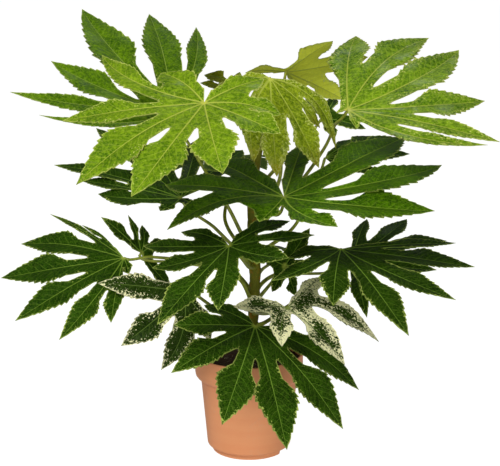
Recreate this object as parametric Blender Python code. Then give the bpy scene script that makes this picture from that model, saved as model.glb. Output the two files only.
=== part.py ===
"""A potted fatsia (Fatsia japonica, mottled form): one upright stem in a plastic grow pot, with long leaf
stalks that each carry one hand-shaped blade of pointed, toothed lobes. Metres, +Z up, origin on the
ground at the pot's axis, and -Y is the front.

Every leaf is one body: a thin blade fused to its stalk, whose foot lies against the stem. A blade is
worked out from its hub, where the stalk meets it, and from the tip of each lobe. Those places are written
as somebody facing the plant sees them: across and down a picture of 500 by 466 units, and by how near
they are."""

import math

import bmesh
import bpy
import numpy as np

# The eye that sees the leaves, and its picture. One unit is 1.6 mm at the pot's axis.
EYE = np.array((0.0015, -2.2, 0.8755))
EYE_PITCH = math.radians(13.42)
EYE_FOCAL = 1465.0
EYE_CENTRE = (250.0, 233.0)

# Pot: a tapered plastic grow pot with a deep collar, a stepped-in foot and drain notches in it.
POT_HEIGHT = 0.1595
POT_WALL = 0.0022
POT_SIDES = 40
COLLAR_RADIUS = 0.085
COLLAR_BOTTOM = 0.1205
WALL_TOP_RADIUS = 0.0757
WALL_FOOT_RADIUS = 0.0660
FOOT_RADIUS = 0.058
FOOT_HEIGHT = 0.0085
FLOOR_UNDER = 0.0088
BOSS_RADIUS = 0.011
DRAIN_ANGLES = (-22, 158)
DRAIN_SIZE = (0.014, 0.024, 0.0065)

# Soil, filled to a little under the collar's edge.
SOIL_TOP = 0.1455
SOIL_SIDES = 20
SOIL_ROUGHNESS = 0.0022
SOIL_HOLE_FLOOR = 0.0700

# Stem: its line as (x, y, z) and its radius there.
STEM_LINE = (
    (0.004, 0.000, 0.0703),
    (0.004, 0.000, 0.145),
    (0.006, 0.001, 0.185),
    (0.007, 0.002, 0.235),
    (0.010, 0.003, 0.285),
    (0.006, 0.004, 0.335),
    (0.004, 0.006, 0.390),
    (0.010, 0.008, 0.445),
    (0.018, 0.010, 0.500),
    (0.022, 0.010, 0.535),
)
STEM_RADII = (0.0075, 0.0075, 0.0080, 0.0085, 0.0088, 0.0082, 0.0075, 0.0068, 0.0058, 0.0040)
STEM_SIDES = 12
STEM_RINGS = 24

# What separates one piece from the next.
GAP = 0.0003

# Blades: widths and depths are shares of a lobe's length, and teeth are places from its notch to its tip.
BLADE_THICKNESS = 0.0008
LOBE_HALF_WIDTH = 0.15
LEAST_HALF = 0.03
MOST_HALF = 0.24
FULLNESS = 1.13
SINUS_SHARE = 0.42
MOST_BEND = 0.2
LEAST_NOTCH = 0.05
NECK_SHARE = 0.66
WIDEST = 0.46
TAPER = 1.35
DROP = 0.10
ARCH = 0.06
FOLD = 0.14
RIB_STOPS = (0.22, 0.46, 0.72)
TEETH = (0.42, 0.62, 0.81)
TOOTH_OUT = 0.09
TOOTH_IN = 0.07
SMALL_LOBE = 0.09
FAN_STEP = math.radians(38)

# Leaf stalks
STALK_FOOT_RADIUS = 0.0036
STALK_TOP_RADIUS = 0.0021
STALK_SIDES = 6
STALK_RINGS = 9


def lobe(tip, mid=None, wide=None, notch=None, lift=0.0):
    """A lobe as seen: its tip, a place on its midrib, how wide it is, and the notch between it and the next
    one. lift is how far its tip stands off the blade's plane, in metres."""
    return dict(tip=tip, mid=mid, wide=wide, notch=notch, lift=lift)


# Each leaf: its hub as (across, down, y), how its blade leans (see facing_way), the height at which its
# stalk leaves the stem, places (across, down, y) that the stalk passes, and its lobes in turn round the
# hub. The two at the rear, which the others hide, have evenly fanned lobes instead: how many, and the
# middle one's length.
LEAVES = {
    "leaf_crown_front_left": dict(
        kind="bright", hub=(204, 103, -0.17), tilt=32, turn=-8, drop=0.04,
        joint=0.498, via=((226, 84, -0.07),),
        lobes=(
            lobe((161, 73), (182, 82), 34, (161, 89)),
            lobe((102, 55), (150, 88), 20, (159, 102)),
            lobe((62, 121), (130, 110), 20, (158, 115)),
            lobe((76, 185), (135, 137), 33, (170, 129)),
            lobe((131, 197), (167, 150), 40, (197, 129)),
            lobe((223, 174), (213, 140), 44, (223, 119)),
            lobe((281, 134), (243, 117), 24, (250, 110)),
            lobe((281, 115), (243, 104), 17, (249, 98)),
            lobe((264, 79), (234, 88), 19))),
    "leaf_crown_front": dict(
        kind="bright", hub=(270, 78, -0.05), tilt=40, turn=30, drop=0.35,
        joint=0.362, via=((275, 192, 0.015), (281, 165, 0.01)),
        lobes=(
            lobe((236, 82), (252, 78), 12, (256, 86)),
            lobe((254, 162), (251, 122), 22, (262, 122)),
            lobe((277, 177), (273, 127), 26, (286, 118)),
            lobe((319, 168), (300, 128), 23, (301, 109)),
            lobe((320, 128), (301, 103), 10, (302, 98)),
            lobe((336, 149), (315, 102), 13))),
    "leaf_crown_back_left": dict(
        hub=(174, 112, 0.0), tilt=36, turn=32, drop=0.04,
        joint=0.318, via=((228, 207, 0.0), (197, 157, 0.01)),
        lobes=(
            lobe((196, 27), (194, 66), 20, (185, 77)),
            lobe((149, 14), (165, 62), 32, (157, 86)),
            lobe((82, 9), (123, 62), 34, (138, 101)),
            lobe((51, 61), (108, 91), 24, (122, 106)),
            lobe((10, 92), (90, 106), 14, (130, 117)),
            lobe((39, 115), (100, 123), 8))),
    "leaf_crown_right": dict(
        kind="bright", hub=(348, 110, -0.09), tilt=26, turn=-8, drop=0.04,
        joint=0.345, via=((302, 180, 0.03), (325, 147, 0.02), (335, 125, -0.02)),
        lobes=(
            lobe((336, 113), None, 6, (340, 104)),
            lobe((356, 36), (347, 72), 34, (363, 66)),
            lobe((429, 38), (380, 66), 30, (373, 87)),
            lobe((459, 50), (405, 85), 30, (390, 104)),
            lobe((485, 101), (425, 106), 24, (413, 116)),
            lobe((500, 142), (430, 124), 14, (397, 126)),
            lobe((488, 145), (415, 137), 11, (362, 120)),
            lobe((357, 129), None, 6))),
    "leaf_crown_back": dict(
        kind="bright", hub=(286, 72, 0.09), tilt=-52, turn=32, drop=0.25, joint=0.480,
        lobes=(
            lobe((311, 99), (300, 87), 9, (307, 86)),
            lobe((345, 100), (318, 86), 18, (326, 76)),
            lobe((368, 57), (332, 65), 22, (319, 61)),
            lobe((333, 41), (306, 57), 22, (287, 70)),
            lobe((245, 73), (266, 70), 8))),
    "leaf_mid_front_right": dict(
        hub=(284, 197, -0.15), tilt=15, turn=-20, joint=0.402, lift=0.1,
        lobes=(
            lobe((208, 160), (248, 176), 24, (231, 180)),
            lobe((165, 185), (225, 188), 18, (214, 195)),
            lobe((167, 230), (215, 203), 16, (240, 206)),
            lobe((259, 222), (271, 211), 20, (282, 206)),
            lobe((338, 227), (308, 217), 18, (312, 210)),
            lobe((435, 211), (355, 206), 26, (324, 201)),
            lobe((442, 165), (370, 184), 22, (325, 189)),
            lobe((404, 137), (350, 163), 27, (303, 176)),
            lobe((301, 146), (293, 170), 22))),
    "leaf_mid_back_left": dict(
        hub=(181, 198, -0.02), tilt=20, turn=0, joint=0.290, via=((216, 229, -0.01),),
        lobes=(
            lobe((243, 150), (212, 172), 26, (196, 180)),
            lobe((197, 140), (190, 168), 26, (179, 178)),
            lobe((155, 146), (165, 172), 26, (157, 176)),
            lobe((96, 128), (136, 158), 16, (140, 172)),
            lobe((54, 165), (118, 177), 12, (130, 184)),
            lobe((80, 180), (130, 188), 10, (140, 193)),
            lobe((98, 194), (140, 199), 16, (160, 204)),
            lobe((160, 211), (171, 206), 10, (178, 203)),
            lobe((210, 214), (196, 206), 9))),
    "leaf_mid_front": dict(
        hub=(229, 246, -0.14), tilt=22, turn=-30, joint=0.296, lift=0.1,
        lobes=(
            lobe((181, 232), (205, 235), 10, (195, 242)),
            lobe((143, 246), (185, 247), 13, (195, 253)),
            lobe((152, 268), (187, 262), 14, (202, 265)),
            lobe((157, 325), (193, 284), 27, (217, 270)),
            lobe((218, 311), (224, 280), 28, (240, 259)),
            lobe((289, 258), (258, 255), 20, (259, 243)),
            lobe((315, 235), (272, 239), 10, (256, 236)),
            lobe((290, 221), (260, 229), 13))),
    "leaf_mid_left": dict(
        hub=(124, 258, -0.05), tilt=24, turn=0, joint=0.236,
        via=((236, 276, -0.02), (186, 261, -0.03), (150, 257, -0.04)),
        lobes=(
            lobe((82, 225), (105, 240), 4, (100, 240)),
            lobe((50, 214), (92, 236), 4, (96, 243)),
            lobe((21, 244), (75, 246), 21, (88, 258)),
            lobe((1, 278), (60, 268), 25, (87, 274)),
            lobe((15, 321), (66, 289), 23, (97, 283)),
            lobe((59, 340), (91, 303), 21, (107, 291)),
            lobe((111, 323), (115, 296), 18, (123, 268)),
            lobe((129, 274), None, 12))),
    "leaf_mid_right": dict(
        hub=(341, 249, -0.10), tilt=11, turn=0,
        joint=0.199, lift=0.2, via=((288, 306, -0.02), (318, 284, -0.02)),
        lobes=(
            lobe((287, 258), (314, 251), 10, (311, 258)),
            lobe((271, 281), (305, 268), 13, (329, 263)),
            lobe((333, 306), (335, 279), 28, (349, 272)),
            lobe((409, 336), (379, 293), 26, (371, 273)),
            lobe((456, 300), (405, 279), 17, (385, 263)),
            lobe((475, 267), (405, 257), 15, (383, 249)),
            lobe((456, 243), (398, 245), 8))),
    "leaf_low_front": dict(
        hub=(255, 326, -0.12), tilt=28, turn=40, drop=0.20, joint=0.183,
        lobes=(
            lobe((204, 305), (230, 313), 13, (222, 317)),
            lobe((174, 325), (214, 325), 22, (226, 333)),
            lobe((171, 373), (207, 350), 26, (238, 350)),
            lobe((222, 425), (236, 384), 38, (255, 360)),
            lobe((287, 450), (273, 389), 37, (276, 361)),
            lobe((343, 429), (303, 374), 29, (287, 349)),
            lobe((359, 390), (306, 347), 23))),
    "leaf_low_right": dict(
        kind="mottled", hub=(287, 308, -0.14), tilt=34, turn=40, joint=0.222, lift=0.2,
        lobes=(
            lobe((233, 307), (258, 305), 15, (268, 316)),
            lobe((282, 347), (281, 328), 26, (293, 313)),
            lobe((345, 365), (319, 333), 22, (311, 305)),
            lobe((379, 342), (345, 315), 17, (318, 297)),
            lobe((320, 277), (305, 291), 14))),
    "leaf_low_left": dict(
        kind="mottled", hub=(184, 292, -0.10), tilt=80, turn=27, joint=0.200, via=((224, 315, -0.03),),
        lobes=(
            lobe((97, 283), (140, 286), 23, (163, 303)),
            lobe((121, 346), (153, 321), 26, (174, 316)),
            lobe((161, 370), (182, 333), 23, (197, 318)),
            lobe((211, 341), (202, 318), 15))),
    "leaf_back_left": dict(
        hub=(141, 253, 0.08), tilt=60, turn=50, joint=0.249, via=((233, 272, 0.02), (186, 263, 0.05)),
        lobes=(
            lobe((172, 288), (156, 272), 12, (152, 258)),
            lobe((164, 241), (152, 246), 10, (148, 243)),
            lobe((142, 225), (144, 239), 9, (139, 240)),
            lobe((128, 215), (136, 233), 6, (133, 240)),
            lobe((101, 217), (121, 233), 12))),
    "leaf_back_right": dict(
        hub=(352, 260, 0.06), tilt=27, turn=-45, joint=0.252, via=((277, 274, 0.035),),
        lobes=(
            lobe((367, 318), (360, 290), 16, (372, 270)),
            lobe((437, 270), (405, 267), 15, (384, 258)),
            lobe((447, 241), (410, 243), 12, (388, 243)),
            lobe((407, 219), (385, 237), 14, (368, 242)),
            lobe((367, 219), (358, 239), 12))),
    "leaf_centre_right": dict(
        hub=(285, 266, 0.0), tilt=70, turn=-40, joint=0.236,
        lobes=(
            lobe((312, 268), (299, 266), 12, (295, 259)),
            lobe((310, 228), (298, 246), 18, (280, 256)),
            lobe((264, 256), (275, 261), 12, (274, 270)),
            lobe((272, 292), (279, 279), 14, (288, 278)),
            lobe((296, 296), (291, 281), 12))),
    "leaf_upper_back_right": dict(
        hub=(325, 158, 0.08), tilt=28, turn=-40, drop=0.25, joint=0.305, via=((296, 224, 0.05),),
        lobes=(
            lobe((380, 175), (353, 166), 12, (350, 161)),
            lobe((410, 154), (367, 155), 14, (352, 152)),
            lobe((404, 138), (363, 148), 14, (350, 149)),
            lobe((375, 136), (350, 147), 12, (343, 148)),
            lobe((353, 139), (338, 149), 9))),
    "leaf_top_back_right": dict(
        hub=(322, 118, 0.13), tilt=35, turn=0, joint=0.400,
        lobes=(
            lobe((308, 90), (314, 105), 10, (320, 105)),
            lobe((335, 96), (330, 107), 10, (333, 110)),
            lobe((366, 129), (345, 122), 11, (335, 126)),
            lobe((335, 138), (329, 128), 10))),
    "leaf_top_back": dict(
        hub=(236, 92, 0.14), tilt=40, turn=0, joint=0.440,
        lobes=(
            lobe((200, 83), (217, 86), 7, (219, 84)),
            lobe((204, 75), (219, 77), 12, (228, 80)),
            lobe((240, 72), (238, 80), 8))),
    "leaf_rear_high": dict(
        hub=(232, 158, 0.15), tilt=-15, turn=12, joint=0.300, via=((225, 220, 0.03),), fan=(7, 0.155)),
    "leaf_rear_low": dict(
        hub=(278, 249, 0.14), tilt=-15, turn=-30, joint=0.264, fan=(7, 0.125)),
}


def clear_scene():
    for obj in list(bpy.data.objects):
        bpy.data.objects.remove(obj, do_unlink=True)


def unit(vector):
    return vector / max(np.linalg.norm(vector), 1e-12)


def seen(across, down, y):
    """The world point at depth y on the sight line through a place in the picture."""
    cos, sin = math.cos(EYE_PITCH), math.sin(EYE_PITCH)
    right = (across - EYE_CENTRE[0]) / EYE_FOCAL
    up = (EYE_CENTRE[1] - down) / EYE_FOCAL
    ray = np.array((right, cos + up * sin, up * cos - sin))
    return EYE + ray * ((y - EYE[1]) / ray[1])


def picture(point):
    """Where a world point is seen in the picture."""
    cos, sin = math.cos(EYE_PITCH), math.sin(EYE_PITCH)
    x, y, z = np.asarray(point) - EYE
    away = y * cos - z * sin
    down = EYE_CENTRE[1] - EYE_FOCAL * (y * sin + z * cos) / away
    return np.array((EYE_CENTRE[0] + EYE_FOCAL * x / away, down))


def new_object(name, points, faces, material=None):
    mesh = bpy.data.meshes.new(name)
    mesh.from_pydata([tuple(map(float, p)) for p in points], [], faces)
    mesh.update()
    obj = bpy.data.objects.new(name, mesh)
    bpy.context.scene.collection.objects.link(obj)
    if material:
        mesh.materials.append(material)
    return obj


def make_material(name, color, roughness, metallic=0.0):
    material = bpy.data.materials.new(name)
    material.use_nodes = True
    shader = material.node_tree.nodes["Principled BSDF"]
    shader.inputs["Base Color"].default_value = (*color, 1.0)
    shader.inputs["Roughness"].default_value = roughness
    shader.inputs["Metallic"].default_value = metallic
    return material


def apply_booleans(obj, steps):
    """Runs (operation, other) Booleans on obj in turn, keeps the result and removes the helpers once done."""
    for number, (operation, other) in enumerate(steps):
        other.hide_render = True
        other.display_type = "WIRE"
        modifier = obj.modifiers.new(f"step_{number}", "BOOLEAN")
        modifier.operation = operation
        modifier.solver = "EXACT"
        modifier.use_self = operation == "UNION"
        modifier.object = other
    graph = bpy.context.evaluated_depsgraph_get()
    done = bpy.data.meshes.new_from_object(obj.evaluated_get(graph))
    old = obj.data
    obj.modifiers.clear()
    obj.data = done
    done.name = old.name
    bpy.data.meshes.remove(old)


def keep_main_body(obj):
    """Drops the crumbs that a union leaves where two lobes of one blade cross."""
    mesh = bmesh.new()
    mesh.from_mesh(obj.data)
    waiting = set(mesh.faces)
    bodies = []
    while waiting:
        first = waiting.pop()
        body = {first}
        edge = [first]
        while edge:
            for side in edge.pop().edges:
                for face in side.link_faces:
                    if len(side.link_faces) == 2 and face in waiting:
                        waiting.remove(face)
                        body.add(face)
                        edge.append(face)
        bodies.append(body)
    bodies.sort(key=len)
    for body in bodies[:-1]:
        sides = {side for face in body for side in face.edges}
        if all(sum(face in body for face in side.link_faces) == 2 for side in sides):
            bmesh.ops.delete(mesh, geom=list(body), context="FACES")
    mesh.to_mesh(obj.data)
    mesh.free()


def tube(path, radii, sides):
    """Points and faces of a closed tube along path, its section carried along without twist."""
    path = np.array(path, float)
    along = np.gradient(path, axis=0)
    along /= np.linalg.norm(along, axis=1)[:, None]
    across = unit(np.cross(along[0], (0.31, -0.85, 0.42)))
    points = []
    for centre, direction, radius in zip(path, along, radii):
        across = unit(across - direction * np.dot(across, direction))
        other = np.cross(direction, across)
        for side in range(sides):
            angle = 2 * math.pi * side / sides
            points.append(centre + radius * (math.cos(angle) * across + math.sin(angle) * other))
    faces = []
    for ring in range(len(path) - 1):
        for side in range(sides):
            following = (side + 1) % sides
            a, b = ring * sides + side, ring * sides + following
            faces.append((a, b, b + sides))
            faces.append((a, b + sides, a + sides))
    faces.append(tuple(reversed(range(sides))))
    faces.append(tuple((len(path) - 1) * sides + side for side in range(sides)))
    return points, faces


def curve_through(points, start, end, count):
    """A smooth curve through points (cubic Hermite pieces), leaving along start and arriving along end."""
    points = [np.array(p, float) for p in points]
    tangents = [None] * len(points)
    tangents[0] = unit(start) * np.linalg.norm(points[1] - points[0])
    tangents[-1] = unit(end) * np.linalg.norm(points[-1] - points[-2])
    for k in range(1, len(points) - 1):
        before, after = points[k] - points[k - 1], points[k + 1] - points[k]
        tangents[k] = unit(before + after) * min(np.linalg.norm(before), np.linalg.norm(after))
    fine = []
    for k in range(len(points) - 1):
        for t in np.linspace(0, 1, 40, endpoint=k == len(points) - 2):
            a, b = 2 * t**3 - 3 * t**2 + 1, t**3 - 2 * t**2 + t
            c, d = -2 * t**3 + 3 * t**2, t**3 - t**2
            fine.append(a * points[k] + b * tangents[k] + c * points[k + 1] + d * tangents[k + 1])
    fine = np.array(fine)
    gone = np.concatenate(([0.0], np.cumsum(np.linalg.norm(np.diff(fine, axis=0), axis=1))))
    wanted = np.linspace(0, gone[-1], count)
    return np.stack([np.interp(wanted, gone, fine[:, axis]) for axis in range(3)], axis=1)


def stem_at(height):
    """The stem's axis and radius at a height."""
    line = np.array(STEM_LINE)
    axis = np.array([np.interp(height, line[:, 2], line[:, k]) for k in range(3)])
    return axis, float(np.interp(height, line[:, 2], STEM_RADII))


def stem_tube(extra, bottom, top, rings, sides):
    heights = np.linspace(bottom, top, rings)
    places = [stem_at(height) for height in heights]
    return tube([place[0] for place in places], [place[1] + extra for place in places], sides)


def smooth(x):
    x = min(max(x, 0.0), 1.0)
    return x * x * (3 - 2 * x)


def half_width(u, start, widest):
    """Half of a lobe's width at u from its notch to its tip: start at the notch, a neck, widest, a point."""
    if u < WIDEST:
        neck = min(start, NECK_SHARE * widest + 0.25 * start)
        share = u / WIDEST
        if share < 0.4:
            return start + (neck - start) * smooth(share / 0.4)
        return neck + (widest - neck) * smooth((share - 0.4) / 0.6)
    v = (u - WIDEST) / (1 - WIDEST)
    return widest * (1 - v**TAPER) ** 1.05


def facing_way(tilt, turn):
    """The upward normal of a blade that leans tilt degrees from level, to the front turned to +X by turn."""
    tilt, turn = math.radians(tilt), math.radians(turn)
    return np.array((math.sin(tilt) * math.sin(turn), -math.sin(tilt) * math.cos(turn), math.cos(tilt)))


class Blade:
    """A leaf's blade. Lobe k's midrib at t from the hub to its tip runs
    hub + arm t + arch sin(pi t) up + bend 4 t (1 - t) side, and a place w to one side of it lies w along that
    side and fold w up. Neighbouring lobes are one as far as the notch between them."""

    def __init__(self, spec):
        self.hub = seen(*spec["hub"])
        self.normal = facing_way(spec["tilt"], spec["turn"])
        self.drop = spec.get("drop", DROP)
        self.arch = spec.get("arch", ARCH)
        if "fan" in spec:
            lobes, arms = self.fanned(*spec["fan"])
        else:
            lobes = list(spec["lobes"])
            arms = [self.on_blade(lobe["tip"], lobe["lift"]) for lobe in lobes]
        gaps = [lobe["notch"] for lobe in lobes[:-1]]
        total = sum(np.cross(unit(a), unit(b)) for a, b in zip(arms, arms[1:]))
        if np.dot(total, self.normal) < 0:
            lobes.reverse()
            arms.reverse()
            gaps.reverse()
        self.arms = arms
        self.out = unit(sum(unit(arm) for arm in arms) + 1e-9)
        self.frames = []
        self.bends = [0.0] * len(arms)
        self.halves = []
        for k, (lobe, arm) in enumerate(zip(lobes, arms)):
            along = unit(arm)
            side = unit(np.cross(self.normal, along))
            length = np.linalg.norm(arm)
            self.frames.append((along, side, np.cross(along, side), length))
            if lobe["mid"]:
                mid = self.on_blade(lobe["mid"], self.arch * length)
                t = min(max(np.dot(mid, along) / length, 0.25), 0.75)
                bend = np.dot(mid, side) / (4 * t * (1 - t))
                self.bends[k] = float(np.clip(bend, -MOST_BEND * length, MOST_BEND * length))
            self.halves.append(self.half_of(k, lobe["wide"]))
        self.notches = [self.open_side(0, -1)]
        for k, gap in enumerate(gaps):
            self.notches.append(self.notch(k, gap))
        self.notches.append(self.open_side(len(arms) - 1, 1))

    def fanned(self, count, length):
        """Lobes evenly round the hub, the longest pointing away from the stem, none of them seen."""
        ahead = self.hub - stem_at(self.hub[2])[0]
        ahead = unit(ahead - self.normal * np.dot(ahead, self.normal))
        side = np.cross(self.normal, ahead)
        arms = []
        for k in range(count):
            angle = (k - (count - 1) / 2) * FAN_STEP
            reach = length * (0.66 + 0.34 * math.cos(angle))
            arms.append(reach * (math.cos(angle) * ahead + math.sin(angle) * side - self.drop * self.normal))
        return [lobe(None) for _ in range(count)], arms

    def on_blade(self, place, lift):
        """From the hub to where a sight line meets the blade, lift above its plane, which sinks by drop of
        the way out."""
        ray = seen(*place, 0.0) - EYE
        out = np.zeros(3)
        for _ in range(12):
            sunk = self.drop * np.linalg.norm(out) - lift
            share = (np.dot(self.normal, self.hub - EYE) - sunk) / np.dot(self.normal, ray)
            out = EYE + ray * share - self.hub
        return out

    def half_of(self, k, wide):
        """Lobe k's half width: from how wide it is seen, within what a leaf of this kind grows."""
        _, side, _, length = self.frames[k]
        if not wide:
            return LOBE_HALF_WIDTH * length
        there = picture(self.rib(k, 0.55))
        forward = unit(picture(self.rib(k, 0.65)) - there)
        across = (picture(self.rib(k, 0.55) + side * 0.01) - there) / 0.01
        units = abs(forward[0] * across[1] - forward[1] * across[0])
        return float(np.clip(FULLNESS * wide / 2 / max(units, 1.0), LEAST_HALF * length, MOST_HALF * length))

    def rib(self, k, t):
        along, side, up, length = self.frames[k]
        rise = self.arch * length * math.sin(math.pi * min(t, 1.0))
        return self.hub + along * length * t + up * rise + side * self.bends[k] * 4 * t * (1 - t)

    def place(self, k, t, w):
        _, side, up, _ = self.frames[k]
        return self.rib(k, t) + side * w + up * FOLD * abs(w)

    def notch(self, k, gap):
        """The notch between lobes k and k + 1: its point, and (t, w) where each of them has it."""
        (first, _, _, long_a), (second, _, _, long_b) = self.frames[k], self.frames[k + 1]
        half = math.acos(max(-1.0, min(1.0, float(np.dot(first, second))))) / 2
        reach = SINUS_SHARE * min(long_a, long_b) * (1 - 0.45 * smooth((math.degrees(half) - 22) / 40))
        places = []
        for lobe, sign in ((k, 1), (k + 1, -1)):
            along, side, _, length = self.frames[lobe]
            t, w = reach * math.cos(half) / length, reach * math.sin(half)
            if gap:
                point = self.on_blade(gap, 0.9 * self.arch * (long_a + long_b) / 2)
                t = min(max(np.dot(point, along) / length, 0.08), 0.8)
                w = sign * np.dot(point - self.rib(lobe, t) + self.hub, side)
                w = max(w, LEAST_NOTCH * length)
            places.append((t, w))
        (t_a, w_a), (t_b, w_b) = places
        point = (self.place(k, t_a, w_a) + self.place(k + 1, t_b, -w_b)) / 2
        return point, places[0], places[1]

    def open_side(self, k, sign):
        """The free base of the first or the last lobe, beside the stalk."""
        t, w = 0.20, 0.62 * self.halves[k]
        return self.place(k, t, sign * w), (t, w), (t, w)

    def edge(self, k, sign, stops):
        """Lobe k's edge on one side, from the notch out: (t, point) at each (u, share of the half width)."""
        point, before, after = self.notches[k + 1] if sign > 0 else self.notches[k]
        t0, start = before if sign > 0 else after
        found = [(t0, point)]
        base = self.place(k, t0, sign * start)
        for u, share in stops:
            t = t0 + (1 - t0) * u
            w = half_width(u, start, self.halves[k]) * share
            blend = (point - base) * (1 - smooth(u / 0.35))
            found.append((t, self.place(k, t, sign * w) + blend))
        return found


def toothed_stops(length):
    """Where an edge turns, as (u, share of the half width): a neck, then each tooth's point and the step
    behind it."""
    stops = [(0.16, 1.0)]
    for u in TEETH if length > SMALL_LOBE else TEETH[::2]:
        stops.append((u, 1.0 + TOOTH_OUT))
        stops.append((u + 0.025, 1.0 - TOOTH_IN))
    return stops


def blade_mesh(blade):
    """The blade as one closed sheet: the upper face, the same face lowered by the thickness, and a rim."""
    points = [blade.hub]
    faces = []
    outline = [0]
    index_of_notch = []
    for point, _, _ in blade.notches:
        index_of_notch.append(len(points))
        points.append(point)
    for k in range(len(blade.arms)):
        rib = [(0.0, 0)]
        for t in RIB_STOPS:
            rib.append((t, len(points)))
            points.append(blade.rib(k, t))
        tip = len(points)
        points.append(blade.rib(k, 1.0))
        rib.append((1.0, tip))
        edges = {}
        for sign in (-1, 1):
            places = blade.edge(k, sign, toothed_stops(blade.frames[k][3]))
            row = [(0.0, index_of_notch[k + 1] if sign > 0 else index_of_notch[k])]
            for t, point in places[1:]:
                row.append((t, len(points)))
                points.append(point)
            row.append((1.0, tip))
            edges[sign] = row
            a = b = 0
            while a < len(rib) - 1 or b < len(row) - 1:
                if b == len(row) - 1 or (a < len(rib) - 1 and rib[a + 1][0] <= row[b + 1][0]):
                    triple = (rib[a][1], rib[a + 1][1], row[b][1])
                    a += 1
                else:
                    triple = (rib[a][1], row[b + 1][1], row[b][1])
                    b += 1
                if len(set(triple)) == 3:
                    faces.append(triple if sign > 0 else triple[::-1])
        outline += [index for _, index in edges[-1]]
        outline += [index for _, index in reversed(edges[1][:-1])]
    clean = [outline[0]]
    for index in outline[1:]:
        if index != clean[-1]:
            clean.append(index)
    outline = clean
    points = np.array(points)
    normals = np.zeros_like(points)
    for face in faces:
        a, b, c = points[list(face)]
        normal = np.cross(b - a, c - a)
        for index in face:
            normals[index] += normal
    normals = normals / np.linalg.norm(normals, axis=1)[:, None]
    upper = points + normals * BLADE_THICKNESS / 2
    lower = points - normals * BLADE_THICKNESS / 2
    count = len(points)
    solid = list(faces) + [tuple(index + count for index in face[::-1]) for face in faces]
    for here, there in zip(outline, outline[1:] + outline[:1]):
        solid.append((here, here + count, there + count))
        solid.append((here, there + count, there))
    return np.concatenate((upper, lower)), solid


def stalk_path(blade, spec):
    """From the stem's axis, out and up, past the places named, to just above the blade at its hub."""
    foot, _ = stem_at(spec["joint"])
    passed = [seen(*place) for place in spec.get("via", ())]
    arrive = unit(0.85 * blade.normal + 0.45 * blade.out)
    top = blade.hub + blade.normal * 0.0012
    first = passed[0] if passed else blade.hub
    leave = first - foot
    leave = unit(leave * np.array((1, 1, 0))) * 0.75 + np.array((0, 0, spec.get("lift", 0.9)))
    return curve_through([foot, *passed, top], leave, arrive, STALK_RINGS)


def build_leaf(name, spec, stem_cutter, material):
    blade = Blade(spec)
    points, faces = blade_mesh(blade)
    leaf = new_object(name, points, faces, material)
    path = stalk_path(blade, spec)
    shares = np.linspace(0, 1, len(path))
    radii = STALK_FOOT_RADIUS + (STALK_TOP_RADIUS - STALK_FOOT_RADIUS) * shares**0.6
    radii[-1] *= 0.7
    stalk = new_object(name + "_stalk", *tube(path, radii, STALK_SIDES))
    apply_booleans(leaf, [("UNION", stalk), ("DIFFERENCE", stem_cutter)])
    keep_main_body(leaf)
    bpy.data.objects.remove(stalk, do_unlink=True)
    return leaf


def revolve(profile, sides):
    """Points and faces of a closed ring profile (radius, height) turned about Z; radius 0 gives a pole."""
    points = []
    rows = []
    for radius, height in profile:
        if radius == 0:
            rows.append([len(points)] * sides)
            points.append((0, 0, height))
            continue
        rows.append(list(range(len(points), len(points) + sides)))
        for side in range(sides):
            angle = 2 * math.pi * side / sides
            points.append((radius * math.cos(angle), radius * math.sin(angle), height))
    faces = []
    for row, following in zip(rows, rows[1:] + rows[:1]):
        for side in range(sides):
            other = (side + 1) % sides
            quad = (row[side], row[other], following[other], following[side])
            ring = tuple(dict.fromkeys(quad))
            if len(ring) > 2:
                faces.append(ring)
    return points, faces


def build_pot(material):
    """A tapered cup turned from one profile, with notches cut through its foot ring."""
    wall = POT_WALL
    profile = [
        (0, 0), (BOSS_RADIUS, 0), (BOSS_RADIUS + 0.001, FLOOR_UNDER),
        (FOOT_RADIUS - wall, FLOOR_UNDER), (FOOT_RADIUS - wall, 0), (FOOT_RADIUS, 0),
        (FOOT_RADIUS, FOOT_HEIGHT - 0.0015), (FOOT_RADIUS + 0.003, FOOT_HEIGHT),
        (WALL_FOOT_RADIUS - 0.0012, FOOT_HEIGHT + 0.0008), (WALL_FOOT_RADIUS, FOOT_HEIGHT + 0.003),
        (WALL_TOP_RADIUS, COLLAR_BOTTOM - 0.003), (COLLAR_RADIUS - 0.0035, COLLAR_BOTTOM + 0.0005),
        (COLLAR_RADIUS - 0.0008, COLLAR_BOTTOM + 0.004), (COLLAR_RADIUS, COLLAR_BOTTOM + 0.009),
        (COLLAR_RADIUS, POT_HEIGHT - 0.0008), (COLLAR_RADIUS - 0.0008, POT_HEIGHT),
        (COLLAR_RADIUS - wall, POT_HEIGHT), (COLLAR_RADIUS - wall, COLLAR_BOTTOM + 0.008),
        (WALL_TOP_RADIUS - wall + 0.0015, COLLAR_BOTTOM + 0.002),
        (WALL_TOP_RADIUS - wall, COLLAR_BOTTOM - 0.002),
        (WALL_FOOT_RADIUS - wall, FOOT_HEIGHT + 0.0045),
        (WALL_FOOT_RADIUS - wall - 0.002, FLOOR_UNDER + wall),
        (0, FLOOR_UNDER + wall),
    ]
    points, faces = revolve(profile, POT_SIDES)
    pot = new_object("pot", points, open_poles(faces), material)
    steps = []
    for angle in DRAIN_ANGLES:
        steps.append(("DIFFERENCE", box_at(angle, FOOT_RADIUS, 0.0, DRAIN_SIZE)))
    apply_booleans(pot, steps)
    for _, helper in steps:
        bpy.data.objects.remove(helper, do_unlink=True)
    return pot


def open_poles(faces):
    """Drops the faces that a profile's closing step makes between its two poles."""
    return [face for face in faces if len(face) > 2]


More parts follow.
